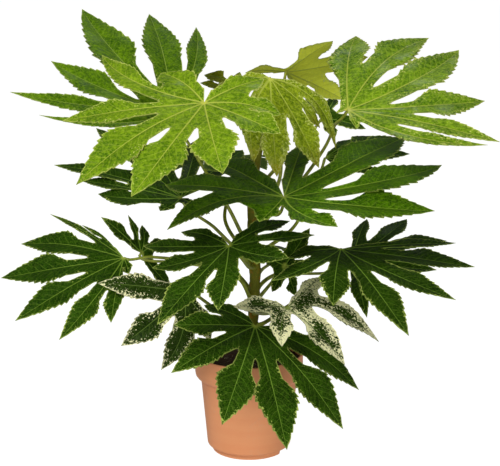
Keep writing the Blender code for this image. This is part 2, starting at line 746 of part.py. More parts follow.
def box_at(angle, radius, height, size):
    """A box (length out, width round, height) centred on the foot ring at an angle."""
    turn = math.radians(angle)
    out = np.array((math.cos(turn), math.sin(turn), 0))
    side = np.array((-math.sin(turn), math.cos(turn), 0))
    centre = out * radius
    points = []
    for z in (height - 0.002, height + size[2]):
        for a, b in ((-1, -1), (1, -1), (1, 1), (-1, 1)):
            points.append(centre + out * a * size[0] / 2 + side * b * size[1] / 2 + np.array((0, 0, z)))
    faces = [(3, 2, 1, 0), (4, 5, 6, 7), (0, 1, 5, 4), (1, 2, 6, 5), (2, 3, 7, 6), (3, 0, 4, 7)]
    return new_object("notch", points, faces)


def soil_height(x, y):
    """Lumps of potting soil: a few sine waves that cross each other, level at the wall."""
    lumps = math.sin(151 * x + 1.3) * math.cos(173 * y - 0.4) + 0.6 * math.sin(283 * x - 211 * y + 2.0)
    fade = 1 - smooth((math.hypot(x, y) - 0.060) / 0.018)
    return SOIL_TOP + SOIL_ROUGHNESS * lumps * fade


def build_soil(material):
    wall = POT_WALL + GAP
    below = [(0, FLOOR_UNDER + wall), (WALL_FOOT_RADIUS - wall - 0.0025, FLOOR_UNDER + wall)]
    below += [(WALL_FOOT_RADIUS - wall - 0.0004, FOOT_HEIGHT + 0.0052)]
    below += [(WALL_TOP_RADIUS - wall - 0.0002, COLLAR_BOTTOM - 0.002)]
    below += [(WALL_TOP_RADIUS - wall + 0.0011, COLLAR_BOTTOM + 0.0028)]
    below += [(COLLAR_RADIUS - wall - 0.0004, COLLAR_BOTTOM + 0.0092)]
    below += [(COLLAR_RADIUS - wall - 0.0004, SOIL_TOP)]
    above = [((COLLAR_RADIUS - wall) * share, SOIL_TOP) for share in (0.8, 0.6, 0.4, 0.2)]
    points, faces = revolve(below + above + [(0, SOIL_TOP)], SOIL_SIDES)
    lifted = [(x, y, soil_height(x, y) if z == SOIL_TOP else z) for x, y, z in points]
    soil = new_object("soil", lifted, open_poles(faces), material)
    hole = new_object("hole", *stem_tube(GAP, SOIL_HOLE_FLOOR, POT_HEIGHT + 0.02, 5, STEM_SIDES))
    apply_booleans(soil, [("DIFFERENCE", hole)])
    bpy.data.objects.remove(hole, do_unlink=True)
    return soil


def main():
    clear_scene()
    pot_plastic = make_material("pot_plastic", (0.68, 0.28, 0.13), 0.45)
    potting_soil = make_material("potting_soil", (0.035, 0.018, 0.010), 0.95)
    bark = make_material("stem_bark", (0.13, 0.11, 0.03), 0.6)
    leaf_bright = make_material("leaf_bright", (0.20, 0.36, 0.03), 0.4)
    leaf_green = make_material("leaf_green", (0.03, 0.13, 0.015), 0.35)
    leaf_mottled = make_material("leaf_mottled", (0.22, 0.30, 0.12), 0.4)
    build_pot(pot_plastic)
    build_soil(potting_soil)
    new_object("stem", *stem_tube(0.0, STEM_LINE[0][2], STEM_LINE[-1][2], STEM_RINGS, STEM_SIDES), bark)
    cutter_points = stem_tube(GAP, STEM_LINE[0][2] - 0.001, STEM_LINE[-1][2] + GAP, STEM_RINGS, STEM_SIDES)
    cutter = new_object("stem_cutter", *cutter_points)
    for name, spec in LEAVES.items():
        kind = spec.get("kind", "green")
        material = {"bright": leaf_bright, "green": leaf_green, "mottled": leaf_mottled}[kind]
        build_leaf(name, spec, cutter, material)
    bpy.data.objects.remove(cutter, do_unlink=True)


main()
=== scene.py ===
"""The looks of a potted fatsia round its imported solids: camera, white floor and soft light, the pot, the
soil and the stem made finer, and every leaf rebuilt from the same named places as its solid, with teeth,
veins and colour.

A leaf is a hub on a sight line, a plane through it, and lobes given as seen: tip, a place on the midrib,
width and the notch beside it. Surfaces are numpy grids, and each docstring says what its function computes.
"""

import math

import bpy
import numpy as np
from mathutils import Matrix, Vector


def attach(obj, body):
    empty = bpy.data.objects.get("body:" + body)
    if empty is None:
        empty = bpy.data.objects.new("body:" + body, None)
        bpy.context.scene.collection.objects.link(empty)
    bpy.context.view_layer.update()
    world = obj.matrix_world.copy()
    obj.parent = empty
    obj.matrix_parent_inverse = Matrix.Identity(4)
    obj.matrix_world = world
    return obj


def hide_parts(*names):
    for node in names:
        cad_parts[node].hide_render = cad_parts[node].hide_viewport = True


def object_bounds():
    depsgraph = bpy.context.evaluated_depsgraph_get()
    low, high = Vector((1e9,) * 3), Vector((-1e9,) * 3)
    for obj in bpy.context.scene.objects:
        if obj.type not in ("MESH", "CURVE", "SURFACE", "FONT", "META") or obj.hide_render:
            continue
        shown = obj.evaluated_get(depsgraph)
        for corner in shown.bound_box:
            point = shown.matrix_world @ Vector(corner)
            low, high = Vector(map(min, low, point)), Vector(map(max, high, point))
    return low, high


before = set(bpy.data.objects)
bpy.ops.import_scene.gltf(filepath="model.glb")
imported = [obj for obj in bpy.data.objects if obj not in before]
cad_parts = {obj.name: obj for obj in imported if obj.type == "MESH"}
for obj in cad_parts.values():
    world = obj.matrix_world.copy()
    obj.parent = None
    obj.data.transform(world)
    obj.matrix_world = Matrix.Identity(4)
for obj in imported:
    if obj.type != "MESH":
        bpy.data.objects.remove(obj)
solid_low, solid_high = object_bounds()

# The eye that sees the leaves, and its picture. One unit is 1.6 mm at the pot's axis.
EYE = np.array((0.0015, -2.2, 0.8755))
EYE_PITCH = math.radians(13.42)
EYE_FOCAL = 1465.0
EYE_CENTRE = (250.0, 233.0)
PICTURE_WIDTH = 500.0
SENSOR_WIDTH = 36.0

# Pot: a tapered plastic grow pot with a deep collar, a stepped-in foot and drain notches in it.
POT_HEIGHT = 0.1595
POT_WALL = 0.0022
POT_SIDES = 180
POT_ROUNDING = 0.0008
COLLAR_RADIUS = 0.085
COLLAR_BOTTOM = 0.1205
WALL_TOP_RADIUS = 0.0757
WALL_FOOT_RADIUS = 0.0660
FOOT_RADIUS = 0.058
FOOT_HEIGHT = 0.0085
FLOOR_UNDER = 0.0088
BOSS_RADIUS = 0.011
DRAIN_ANGLES = (-22, 158)
DRAIN_SIZE = (0.014, 0.024, 0.0065)
DRAIN_EDGE = (0.9, 0.14)
FOOT_BAND = 0.0016

# Soil, filled to a little under the collar's edge.
SOIL_TOP = 0.1455
SOIL_SIDES = 180
SOIL_ROUGHNESS = 0.0022

# Stem: its line as (x, y, z) and its radius there.
STEM_LINE = (
    (0.004, 0.000, 0.0703),
    (0.004, 0.000, 0.145),
    (0.006, 0.001, 0.185),
    (0.007, 0.002, 0.235),
    (0.010, 0.003, 0.285),
    (0.006, 0.004, 0.335),
    (0.004, 0.006, 0.390),
    (0.010, 0.008, 0.445),
    (0.018, 0.010, 0.500),
    (0.022, 0.010, 0.535),
)
STEM_RADII = (0.0075, 0.0075, 0.0080, 0.0085, 0.0088, 0.0082, 0.0075, 0.0068, 0.0058, 0.0040)
STEM_SIDES = 36
STEM_RINGS = 240

# What separates one piece from the next.
GAP = 0.0003

# Blades: widths, depths and bends are shares of a lobe's length, places are shares of the way to its tip, and
# a notch's angles are degrees between it and the lobes beside it.
BLADE_THICKNESS = 0.0008
LOBE_HALF_WIDTH = 0.15
LEAST_HALF = 0.03
MOST_HALF = 0.24
FULLNESS = 1.13
SINUS_SHARE = 0.42
MOST_BEND = 0.2
LEAST_NOTCH = 0.05
NECK_SHARE = 0.66
WIDEST = 0.46
TAPER = 1.35
DROP = 0.10
ARCH = 0.06
FOLD = 0.14
NECK_EASE = 0.4
NECK_START = 0.25
ROUNDING = 1.05
SINUS_LOSS = 0.45
SINUS_ANGLES = (22, 40)
NOTCH_RISE = 0.9
NOTCH_PLACES = (0.08, 0.8)
NOTCH_DRAW = 0.35
OPEN_PLACE = 0.20
OPEN_SHARE = 0.62
SEEN_PLACES = (0.55, 0.65)
SEEN_STEP = 0.01
MIDDLE_PLACES = (0.25, 0.75)
SIGHT_ROUNDS = 12
CURVE_STEPS = 40
FAN_STEP = math.radians(38)
FAN_LOSS = 0.34

# Leaf stalks. A leaf's lift is how steeply its stalk leaves the stem; the blade's own rise and lean end it.
STALK_LIFT = 0.9
STALK_OUT = 0.75
STALK_END_UP = 0.85
STALK_END_OUT = 0.45
STALK_FOOT_RADIUS = 0.0036
STALK_TOP_RADIUS = 0.0021
STALK_SIDES = 16
STALK_RINGS = 44


def lobe(tip, mid=None, wide=None, notch=None):
    """A lobe as seen: its tip, a place on its midrib, its width, and the notch between it and the next."""
    return dict(tip=tip, mid=mid, wide=wide, notch=notch)


# Each leaf: its hub as (across, down, y), how its blade leans (see facing_way), the height at which its
# stalk leaves the stem, places (across, down, y) that the stalk passes, and its lobes in turn round the
# hub. The two at the rear, which the others hide, have evenly fanned lobes instead: how many, and the
# middle one's length.
LEAVES = {
    "leaf_crown_front_left": dict(
        kind="bright", hub=(204, 103, -0.17), tilt=32, turn=-8, drop=0.04,
        joint=0.498, via=((226, 84, -0.07),), lobes=(
            lobe((161, 73), (182, 82), 34, (161, 89)), lobe((102, 55), (150, 88), 20, (159, 102)),
            lobe((62, 121), (130, 110), 20, (158, 115)), lobe((76, 185), (135, 137), 33, (170, 129)),
            lobe((131, 197), (167, 150), 40, (197, 129)), lobe((223, 174), (213, 140), 44, (223, 119)),
            lobe((281, 134), (243, 117), 24, (250, 110)), lobe((281, 115), (243, 104), 17, (249, 98)),
            lobe((264, 79), (234, 88), 19))),
    "leaf_crown_front": dict(
        kind="bright", hub=(270, 78, -0.05), tilt=40, turn=30, drop=0.35,
        joint=0.362, via=((275, 192, 0.015), (281, 165, 0.01)), lobes=(
            lobe((236, 82), (252, 78), 12, (256, 86)), lobe((254, 162), (251, 122), 22, (262, 122)),
            lobe((277, 177), (273, 127), 26, (286, 118)), lobe((319, 168), (300, 128), 23, (301, 109)),
            lobe((320, 128), (301, 103), 10, (302, 98)), lobe((336, 149), (315, 102), 13))),
    "leaf_crown_back_left": dict(
        hub=(174, 112, 0.0), tilt=36, turn=32, drop=0.04,
        joint=0.318, via=((228, 207, 0.0), (197, 157, 0.01)), lobes=(
            lobe((196, 27), (194, 66), 20, (185, 77)), lobe((149, 14), (165, 62), 32, (157, 86)),
            lobe((82, 9), (123, 62), 34, (138, 101)), lobe((51, 61), (108, 91), 24, (122, 106)),
            lobe((10, 92), (90, 106), 14, (130, 117)), lobe((39, 115), (100, 123), 8))),
    "leaf_crown_right": dict(
        kind="bright", hub=(348, 110, -0.09), tilt=26, turn=-8, drop=0.04,
        joint=0.345, via=((302, 180, 0.03), (325, 147, 0.02), (335, 125, -0.02)), lobes=(
            lobe((336, 113), None, 6, (340, 104)), lobe((356, 36), (347, 72), 34, (363, 66)),
            lobe((429, 38), (380, 66), 30, (373, 87)), lobe((459, 50), (405, 85), 30, (390, 104)),
            lobe((485, 101), (425, 106), 24, (413, 116)), lobe((500, 142), (430, 124), 14, (397, 126)),
            lobe((488, 145), (415, 137), 11, (362, 120)), lobe((357, 129), None, 6))),
    "leaf_crown_back": dict(
        kind="bright", hub=(286, 72, 0.09), tilt=-52, turn=32, drop=0.25, joint=0.480, lobes=(
            lobe((311, 99), (300, 87), 9, (307, 86)), lobe((345, 100), (318, 86), 18, (326, 76)),
            lobe((368, 57), (332, 65), 22, (319, 61)), lobe((333, 41), (306, 57), 22, (287, 70)),
            lobe((245, 73), (266, 70), 8))),
    "leaf_mid_front_right": dict(
        hub=(284, 197, -0.15), tilt=15, turn=-20, joint=0.402, lift=0.1, lobes=(
            lobe((208, 160), (248, 176), 24, (231, 180)), lobe((165, 185), (225, 188), 18, (214, 195)),
            lobe((167, 230), (215, 203), 16, (240, 206)), lobe((259, 222), (271, 211), 20, (282, 206)),
            lobe((338, 227), (308, 217), 18, (312, 210)), lobe((435, 211), (355, 206), 26, (324, 201)),
            lobe((442, 165), (370, 184), 22, (325, 189)), lobe((404, 137), (350, 163), 27, (303, 176)),
            lobe((301, 146), (293, 170), 22))),
    "leaf_mid_back_left": dict(
        hub=(181, 198, -0.02), tilt=20, turn=0, joint=0.290, via=((216, 229, -0.01),), lobes=(
            lobe((243, 150), (212, 172), 26, (196, 180)), lobe((197, 140), (190, 168), 26, (179, 178)),
            lobe((155, 146), (165, 172), 26, (157, 176)), lobe((96, 128), (136, 158), 16, (140, 172)),
            lobe((54, 165), (118, 177), 12, (130, 184)), lobe((80, 180), (130, 188), 10, (140, 193)),
            lobe((98, 194), (140, 199), 16, (160, 204)), lobe((160, 211), (171, 206), 10, (178, 203)),
            lobe((210, 214), (196, 206), 9))),
    "leaf_mid_front": dict(
        hub=(229, 246, -0.14), tilt=22, turn=-30, joint=0.296, lift=0.1, lobes=(
            lobe((181, 232), (205, 235), 10, (195, 242)), lobe((143, 246), (185, 247), 13, (195, 253)),
            lobe((152, 268), (187, 262), 14, (202, 265)), lobe((157, 325), (193, 284), 27, (217, 270)),
            lobe((218, 311), (224, 280), 28, (240, 259)), lobe((289, 258), (258, 255), 20, (259, 243)),
            lobe((315, 235), (272, 239), 10, (256, 236)), lobe((290, 221), (260, 229), 13))),
    "leaf_mid_left": dict(
        hub=(124, 258, -0.05), tilt=24, turn=0, joint=0.236,
        via=((236, 276, -0.02), (186, 261, -0.03), (150, 257, -0.04)), lobes=(
            lobe((82, 225), (105, 240), 4, (100, 240)), lobe((50, 214), (92, 236), 4, (96, 243)),
            lobe((21, 244), (75, 246), 21, (88, 258)), lobe((1, 278), (60, 268), 25, (87, 274)),
            lobe((15, 321), (66, 289), 23, (97, 283)), lobe((59, 340), (91, 303), 21, (107, 291)),
            lobe((111, 323), (115, 296), 18, (123, 268)), lobe((129, 274), None, 12))),
    "leaf_mid_right": dict(
        hub=(341, 249, -0.10), tilt=11, turn=0,
        joint=0.199, lift=0.2, via=((288, 306, -0.02), (318, 284, -0.02)), lobes=(
            lobe((287, 258), (314, 251), 10, (311, 258)), lobe((271, 281), (305, 268), 13, (329, 263)),
            lobe((333, 306), (335, 279), 28, (349, 272)), lobe((409, 336), (379, 293), 26, (371, 273)),
            lobe((456, 300), (405, 279), 17, (385, 263)), lobe((475, 267), (405, 257), 15, (383, 249)),
            lobe((456, 243), (398, 245), 8))),
    "leaf_low_front": dict(
        hub=(255, 326, -0.12), tilt=28, turn=40, drop=0.20, joint=0.183, lobes=(
            lobe((204, 305), (230, 313), 13, (222, 317)), lobe((174, 325), (214, 325), 22, (226, 333)),
            lobe((171, 373), (207, 350), 26, (238, 350)), lobe((222, 425), (236, 384), 38, (255, 360)),
            lobe((287, 450), (273, 389), 37, (276, 361)), lobe((343, 429), (303, 374), 29, (287, 349)),
            lobe((359, 390), (306, 347), 23))),
    "leaf_low_right": dict(
        kind="mottled", hub=(287, 308, -0.14), tilt=34, turn=40, joint=0.222, lift=0.2, lobes=(
            lobe((233, 307), (258, 305), 15, (268, 316)), lobe((282, 347), (281, 328), 26, (293, 313)),
            lobe((345, 365), (319, 333), 22, (311, 305)), lobe((379, 342), (345, 315), 17, (318, 297)),
            lobe((320, 277), (305, 291), 14))),
    "leaf_low_left": dict(
        kind="mottled", hub=(184, 292, -0.10), tilt=80, turn=27,
        joint=0.200, via=((224, 315, -0.03),), lobes=(
            lobe((97, 283), (140, 286), 23, (163, 303)), lobe((121, 346), (153, 321), 26, (174, 316)),
            lobe((161, 370), (182, 333), 23, (197, 318)), lobe((211, 341), (202, 318), 15))),
    "leaf_back_left": dict(
        hub=(141, 253, 0.08), tilt=60, turn=50, joint=0.249, via=((233, 272, 0.02), (186, 263, 0.05)), lobes=(
            lobe((172, 288), (156, 272), 12, (152, 258)), lobe((164, 241), (152, 246), 10, (148, 243)),
            lobe((142, 225), (144, 239), 9, (139, 240)), lobe((128, 215), (136, 233), 6, (133, 240)),
            lobe((101, 217), (121, 233), 12))),
    "leaf_back_right": dict(
        hub=(352, 260, 0.06), tilt=27, turn=-45, joint=0.252, via=((277, 274, 0.035),), lobes=(
            lobe((367, 318), (360, 290), 16, (372, 270)), lobe((437, 270), (405, 267), 15, (384, 258)),
            lobe((447, 241), (410, 243), 12, (388, 243)), lobe((407, 219), (385, 237), 14, (368, 242)),
            lobe((367, 219), (358, 239), 12))),
    "leaf_centre_right": dict(
        hub=(285, 266, 0.0), tilt=70, turn=-40, joint=0.236, lobes=(
            lobe((312, 268), (299, 266), 12, (295, 259)), lobe((310, 228), (298, 246), 18, (280, 256)),
            lobe((264, 256), (275, 261), 12, (274, 270)), lobe((272, 292), (279, 279), 14, (288, 278)),
            lobe((296, 296), (291, 281), 12))),
    "leaf_upper_back_right": dict(
        hub=(325, 158, 0.08), tilt=28, turn=-40, drop=0.25, joint=0.305, via=((296, 224, 0.05),), lobes=(
            lobe((380, 175), (353, 166), 12, (350, 161)), lobe((410, 154), (367, 155), 14, (352, 152)),
            lobe((404, 138), (363, 148), 14, (350, 149)), lobe((375, 136), (350, 147), 12, (343, 148)),
            lobe((353, 139), (338, 149), 9))),
    "leaf_top_back_right": dict(
        hub=(322, 118, 0.13), tilt=35, turn=0, joint=0.400, lobes=(
            lobe((308, 90), (314, 105), 10, (320, 105)), lobe((335, 96), (330, 107), 10, (333, 110)),
            lobe((366, 129), (345, 122), 11, (335, 126)), lobe((335, 138), (329, 128), 10))),
    "leaf_top_back": dict(
        hub=(236, 92, 0.14), tilt=40, turn=0, joint=0.440, lobes=(
            lobe((200, 83), (217, 86), 7, (219, 84)), lobe((204, 75), (219, 77), 12, (228, 80)),
            lobe((240, 72), (238, 80), 8))),
    "leaf_rear_high": dict(
        hub=(232, 158, 0.15), tilt=-15, turn=12, joint=0.300, via=((225, 220, 0.03),), fan=(7, 0.155)),
    "leaf_rear_low": dict(
        hub=(278, 249, 0.14), tilt=-15, turn=-30, joint=0.264, fan=(7, 0.125)),
}

# From here to the veins: what is finer than in the solids. A pair of PLACES says where a change begins and
# over what length. First a blade: rows and columns of half a lobe, its crown and waves, the bay past its
# notch, and its thin rim.
NOTCH_ROWS = 8
NOTCH_LINE = np.arange(1, NOTCH_ROWS + 1) / NOTCH_ROWS
ACROSS = 8
CROWN = 0.045
WAVE = 0.0010
WAVE_LENGTH = 0.042
BARE_PLACES = (0.0, 0.012, 0.03, 0.06, 0.11, 0.17)
CROWDING = 0.10
WAVE_START = 0.3
WAVE_END = 1.6
WAVE_REACH = 1.2
WAVE_SIZES = (0.6, 1.2)
LEAST_WIDTH = 1e-4
BAY = 0.0014
BAY_PLACES = (0.03, 0.13)
RIM_BAND = 0.003
RIM_HALF = 0.3

# Teeth: where they stand from a lobe's notch to its tip, how many, and what share of the half width each of
# a tooth's places stands out by.
TOOTH_ROOT = 0.55
FIRST_TOOTH = 0.24
LAST_TOOTH = 0.90
TOOTH_PITCH = 0.0135
FEWEST_TEETH = 2
MOST_TEETH = 9
TOOTH_PLACES = (0.0, 0.35, 0.72, 0.93)
TOOTH_SHARES = (-0.055, 0.0, 0.055, 0.085)
TOOTH_SHIFT = 0.13
TOOTH_SIZES = (0.7, 1.3)
TOOTH_GROWTH = (0.75, 0.5)
TIP_PLACES = (LAST_TOOTH + 0.03, LAST_TOOTH + 0.06, 1.0)

# Soil: its crumbs, as crossing waves, and how it banks up to the stem.
SOIL_RINGS = 60
SOIL_CRUMB = 0.0011
CRUMB_WAVES = 9
CRUMB_PACES = (520, 97)
CRUMB_TURNS = (0.7, 2.4)
SOIL_BANK = 0.004
SOIL_BANK_PLACES = (0.008, 0.016)

# Stalks: how they clasp the stem, thicken under the blade, taper and are ridged.
CLASP = 0.0014
CLASP_PLACES = (0.006, 0.014)
STALK_CAP = 0.0007
STALK_CAP_PLACES = (0.95, 0.05)
STALK_TAPER = 0.6
STALK_SHARE = 0.98
STALK_TIP = 0.6
STALK_RIDGES = 6
RIDGE_HEIGHT = 0.05
RIDGE_TURN = 3
RIDGE_START = 8

# Stem: its swelling and scar at each leaf's joint, its waves as (share, times round, turn), its round top.
JOINT_LENGTH = 0.006
JOINT_SWELL = 0.08
SCAR_DIP = 0.06
SCAR_PLACE = 1.5
SCAR_LENGTH = 0.25
STEM_SHARES = (0.96, 1.06)
STEM_WAVES = ((0.04, 3, 40), (0.02, 7, -90))
STEM_EASE = 4
STEM_DOME = 6

# Side veins: how they wander, lean towards the tip and bow, and how far one lobe's are ahead of the next's.
VEIN_WANDER = 0.014
VEIN_LEAN = 0.85
VEIN_BOW = 11.0
VEIN_STEP = 0.93
VEIN_REACH = 0.035
VEIN_THIN = 0.45
MIDRIB_THIN = 0.28

# Stage: floor, lights as (name, place, aim, size, watts), and the even light all round.
FLOOR_REACH = 30.0
FLOOR_SHADE = 0.20
FLOOR_GLOW = 0.99
FLOOR_BOUNCE = 0.35
LIGHTS = (
    ("soft_front_left", (-1.3, -2.0, 2.3), (0.0, 0.0, 0.35), (1.3, 1.3), 60),
    ("soft_right", (2.2, -1.6, 1.2), (0.0, 0.0, 0.35), (1.2, 1.2), 12),
    ("soft_front_low", (0.2, -2.7, 0.45), (0.0, 0.0, 0.30), (1.3, 0.9), 18),
    ("sheen_behind", (0.3, 1.7, 2.5), (0.0, 0.0, 0.35), (0.9, 0.9), 7),
)
SURROUND = 0.10

# Colours of the pot, the soil and the bark, as read off a screen, 0 to 255.
POT_COLOURS = dict(low=(238, 152, 100), high=(246, 172, 120), scuff=(228, 172, 136), grain=(176, 100, 64))
SOIL_COLOURS = dict(dark=(26, 16, 10), light=(84, 56, 38), fibre=(112, 68, 40), grain=(186, 176, 150))
BARK_COLOURS = dict(dark=(64, 70, 4), light=(130, 132, 18), brown=(170, 108, 24), cork=(160, 140, 44))

# How leaves look, by kind, and what single leaves have of their own.
PLAIN_LOOK = dict(
    spacing=0.0125, side_vein=0.0007, midrib=0.0014, cover=0.46, reach=0.007, fleck=0.62, net=0.16,
    margin=0.9, vein_share=0.30, rib_share=0.9, rough=0.34, gloss=0.03, relief=0.0009, sheen=0.06,
    stalk=(156, 166, 44), stalk_dark=(108, 118, 14))
LEAF_LOOKS = {
    "green": dict(PLAIN_LOOK, dark=(10, 34, 1), light=(50, 86, 7), vein=(128, 164, 58), speck=(176, 192, 92),
                  under=(84, 104, 40), hub=(160, 176, 70)),
    "bright": dict(PLAIN_LOOK, dark=(80, 116, 4), light=(144, 176, 44), vein=(182, 196, 76),
                   speck=(200, 210, 104), under=(130, 142, 44), hub=(200, 204, 84), vein_share=0.45,
                   cover=0.47, reach=0.016, sheen=0.25, midrib=0.0018, stalk=(170, 178, 54),
                   stalk_dark=(124, 134, 24)),
    "mottled": dict(PLAIN_LOOK, dark=(12, 34, 2), light=(48, 72, 14), vein=(96, 122, 50),
                    speck=(240, 238, 184), under=(110, 126, 70), hub=(150, 166, 80), cover=0.82, reach=0.023),
}
OWN_LOOKS = {
    "leaf_crown_front_left": dict(dark=(58, 100, 1), light=(144, 178, 28), cover=0.40, reach=0.010),
    "leaf_crown_front": dict(dark=(76, 106, 1), light=(178, 198, 40), end_colour=(136, 112, 26), cover=0.54),
    "leaf_crown_right": dict(dark=(44, 94, 1), light=(146, 182, 34), rough=0.26, sheen=0.32),
    # leaf_crown_back is seen from below. Its colours are partly its own pale yellow-green and partly painted
    # light: they are raised far above that green to stand in for the light that shines through the blade.
    "leaf_crown_back": dict(under=(232, 240, 84), dark=(196, 206, 34), light=(226, 236, 76)),
    "leaf_crown_back_left": dict(dark=(38, 80, 1), light=(112, 152, 10), vein=(150, 176, 66), sheen=0.08),
    "leaf_top_back": dict(dark=(104, 110, 12), light=(150, 154, 34), under=(150, 152, 40)),
    "leaf_mid_front_right": dict(dark=(22, 62, 0), light=(90, 136, 6), vein=(152, 182, 62), midrib=0.0017),
    "leaf_mid_left": dict(dark=(12, 42, 1), light=(48, 84, 6), vein=(128, 160, 56)),
    "leaf_mid_right": dict(dark=(8, 34, 1), light=(44, 74, 6)),
    "leaf_low_left": dict(cover=0.53, reach=0.015, dark=(14, 34, 2), light=(46, 68, 14)),
}

# A lower face has this share of its own colour in it, is rougher, and has these shares of gloss and glaze.
UNDER_SHARE = 0.55
UNDER_FINISH = (0.16, 0.4, 0.2)


def unit(vector):
    return vector / max(np.linalg.norm(vector), 1e-12)


def seen(across, down, y):
    """The world point at depth y on the sight line through a place in the picture."""
    cos, sin = math.cos(EYE_PITCH), math.sin(EYE_PITCH)
    right = (across - EYE_CENTRE[0]) / EYE_FOCAL
    up = (EYE_CENTRE[1] - down) / EYE_FOCAL
    ray = np.array((right, cos + up * sin, up * cos - sin))
    return EYE + ray * ((y - EYE[1]) / ray[1])


def picture(point):
    """Where a world point is seen in the picture."""
    cos, sin = math.cos(EYE_PITCH), math.sin(EYE_PITCH)
    x, y, z = np.asarray(point) - EYE
    away = y * cos - z * sin
    down = EYE_CENTRE[1] - EYE_FOCAL * (y * sin + z * cos) / away
    return np.array((EYE_CENTRE[0] + EYE_FOCAL * x / away, down))


def smooth(x):
    """3 x squared - 2 x cubed, held at 0 and 1 outside them."""
    x = np.clip(x, 0.0, 1.0)
    return x * x * (3 - 2 * x)


def half_width(u, start, widest):
    """Half of a lobe's width at u from its notch to its tip: start at the notch, eased to a neck, eased to
    the widest place, then widest (1 - v^TAPER)^ROUNDING, v running from 0 there to 1 at the tip."""
    neck = min(start, NECK_SHARE * widest + NECK_START * start)
    share = u / WIDEST
    below = np.where(share < NECK_EASE, start + (neck - start) * smooth(share / NECK_EASE),
                     neck + (widest - neck) * smooth((share - NECK_EASE) / (1 - NECK_EASE)))
    v = np.clip((u - WIDEST) / (1 - WIDEST), 0.0, 1.0)
    return np.where(u < WIDEST, below, widest * (1 - v**TAPER) ** ROUNDING)


def facing_way(tilt, turn):
    """The upward normal of a blade that leans tilt degrees from level, to the front turned to +X by turn."""
    tilt, turn = math.radians(tilt), math.radians(turn)
    return np.array((math.sin(tilt) * math.sin(turn), -math.sin(tilt) * math.cos(turn), math.cos(tilt)))


def stem_at(height):
    """The stem's axis and radius at a height, straight from one named place to the next."""
    line = np.array(STEM_LINE)
    axis = np.stack([np.interp(height, line[:, 2], line[:, k]) for k in range(3)], axis=-1)
    return axis, np.interp(height, line[:, 2], STEM_RADII)


def curve_through(points, start, end, count):
    """A smooth curve through points in cubic Hermite pieces, leaving along start and arriving along end, cut
    into count places evenly spaced along its length."""
    points = [np.array(p, float) for p in points]
    tangents = [unit(start) * np.linalg.norm(points[1] - points[0])]
    for before, here, after in zip(points, points[1:], points[2:]):
        reach = min(np.linalg.norm(here - before), np.linalg.norm(after - here))
        tangents.append(unit(after - before) * reach)
    tangents.append(unit(end) * np.linalg.norm(points[-1] - points[-2]))
    t = np.linspace(0, 1, CURVE_STEPS)[:, None]
    pieces = [(2 * t**3 - 3 * t**2 + 1) * a + (t**3 - 2 * t**2 + t) * slope_a
              + (3 * t**2 - 2 * t**3) * b + (t**3 - t**2) * slope_b
              for a, b, slope_a, slope_b in zip(points, points[1:], tangents, tangents[1:])]
    fine = np.concatenate([piece[:-1] for piece in pieces[:-1]] + [pieces[-1]])
    gone = np.concatenate(([0.0], np.cumsum(np.linalg.norm(np.diff(fine, axis=0), axis=1))))
    wanted = np.linspace(0, gone[-1], count)
    return np.stack([np.interp(wanted, gone, fine[:, axis]) for axis in range(3)], axis=1)


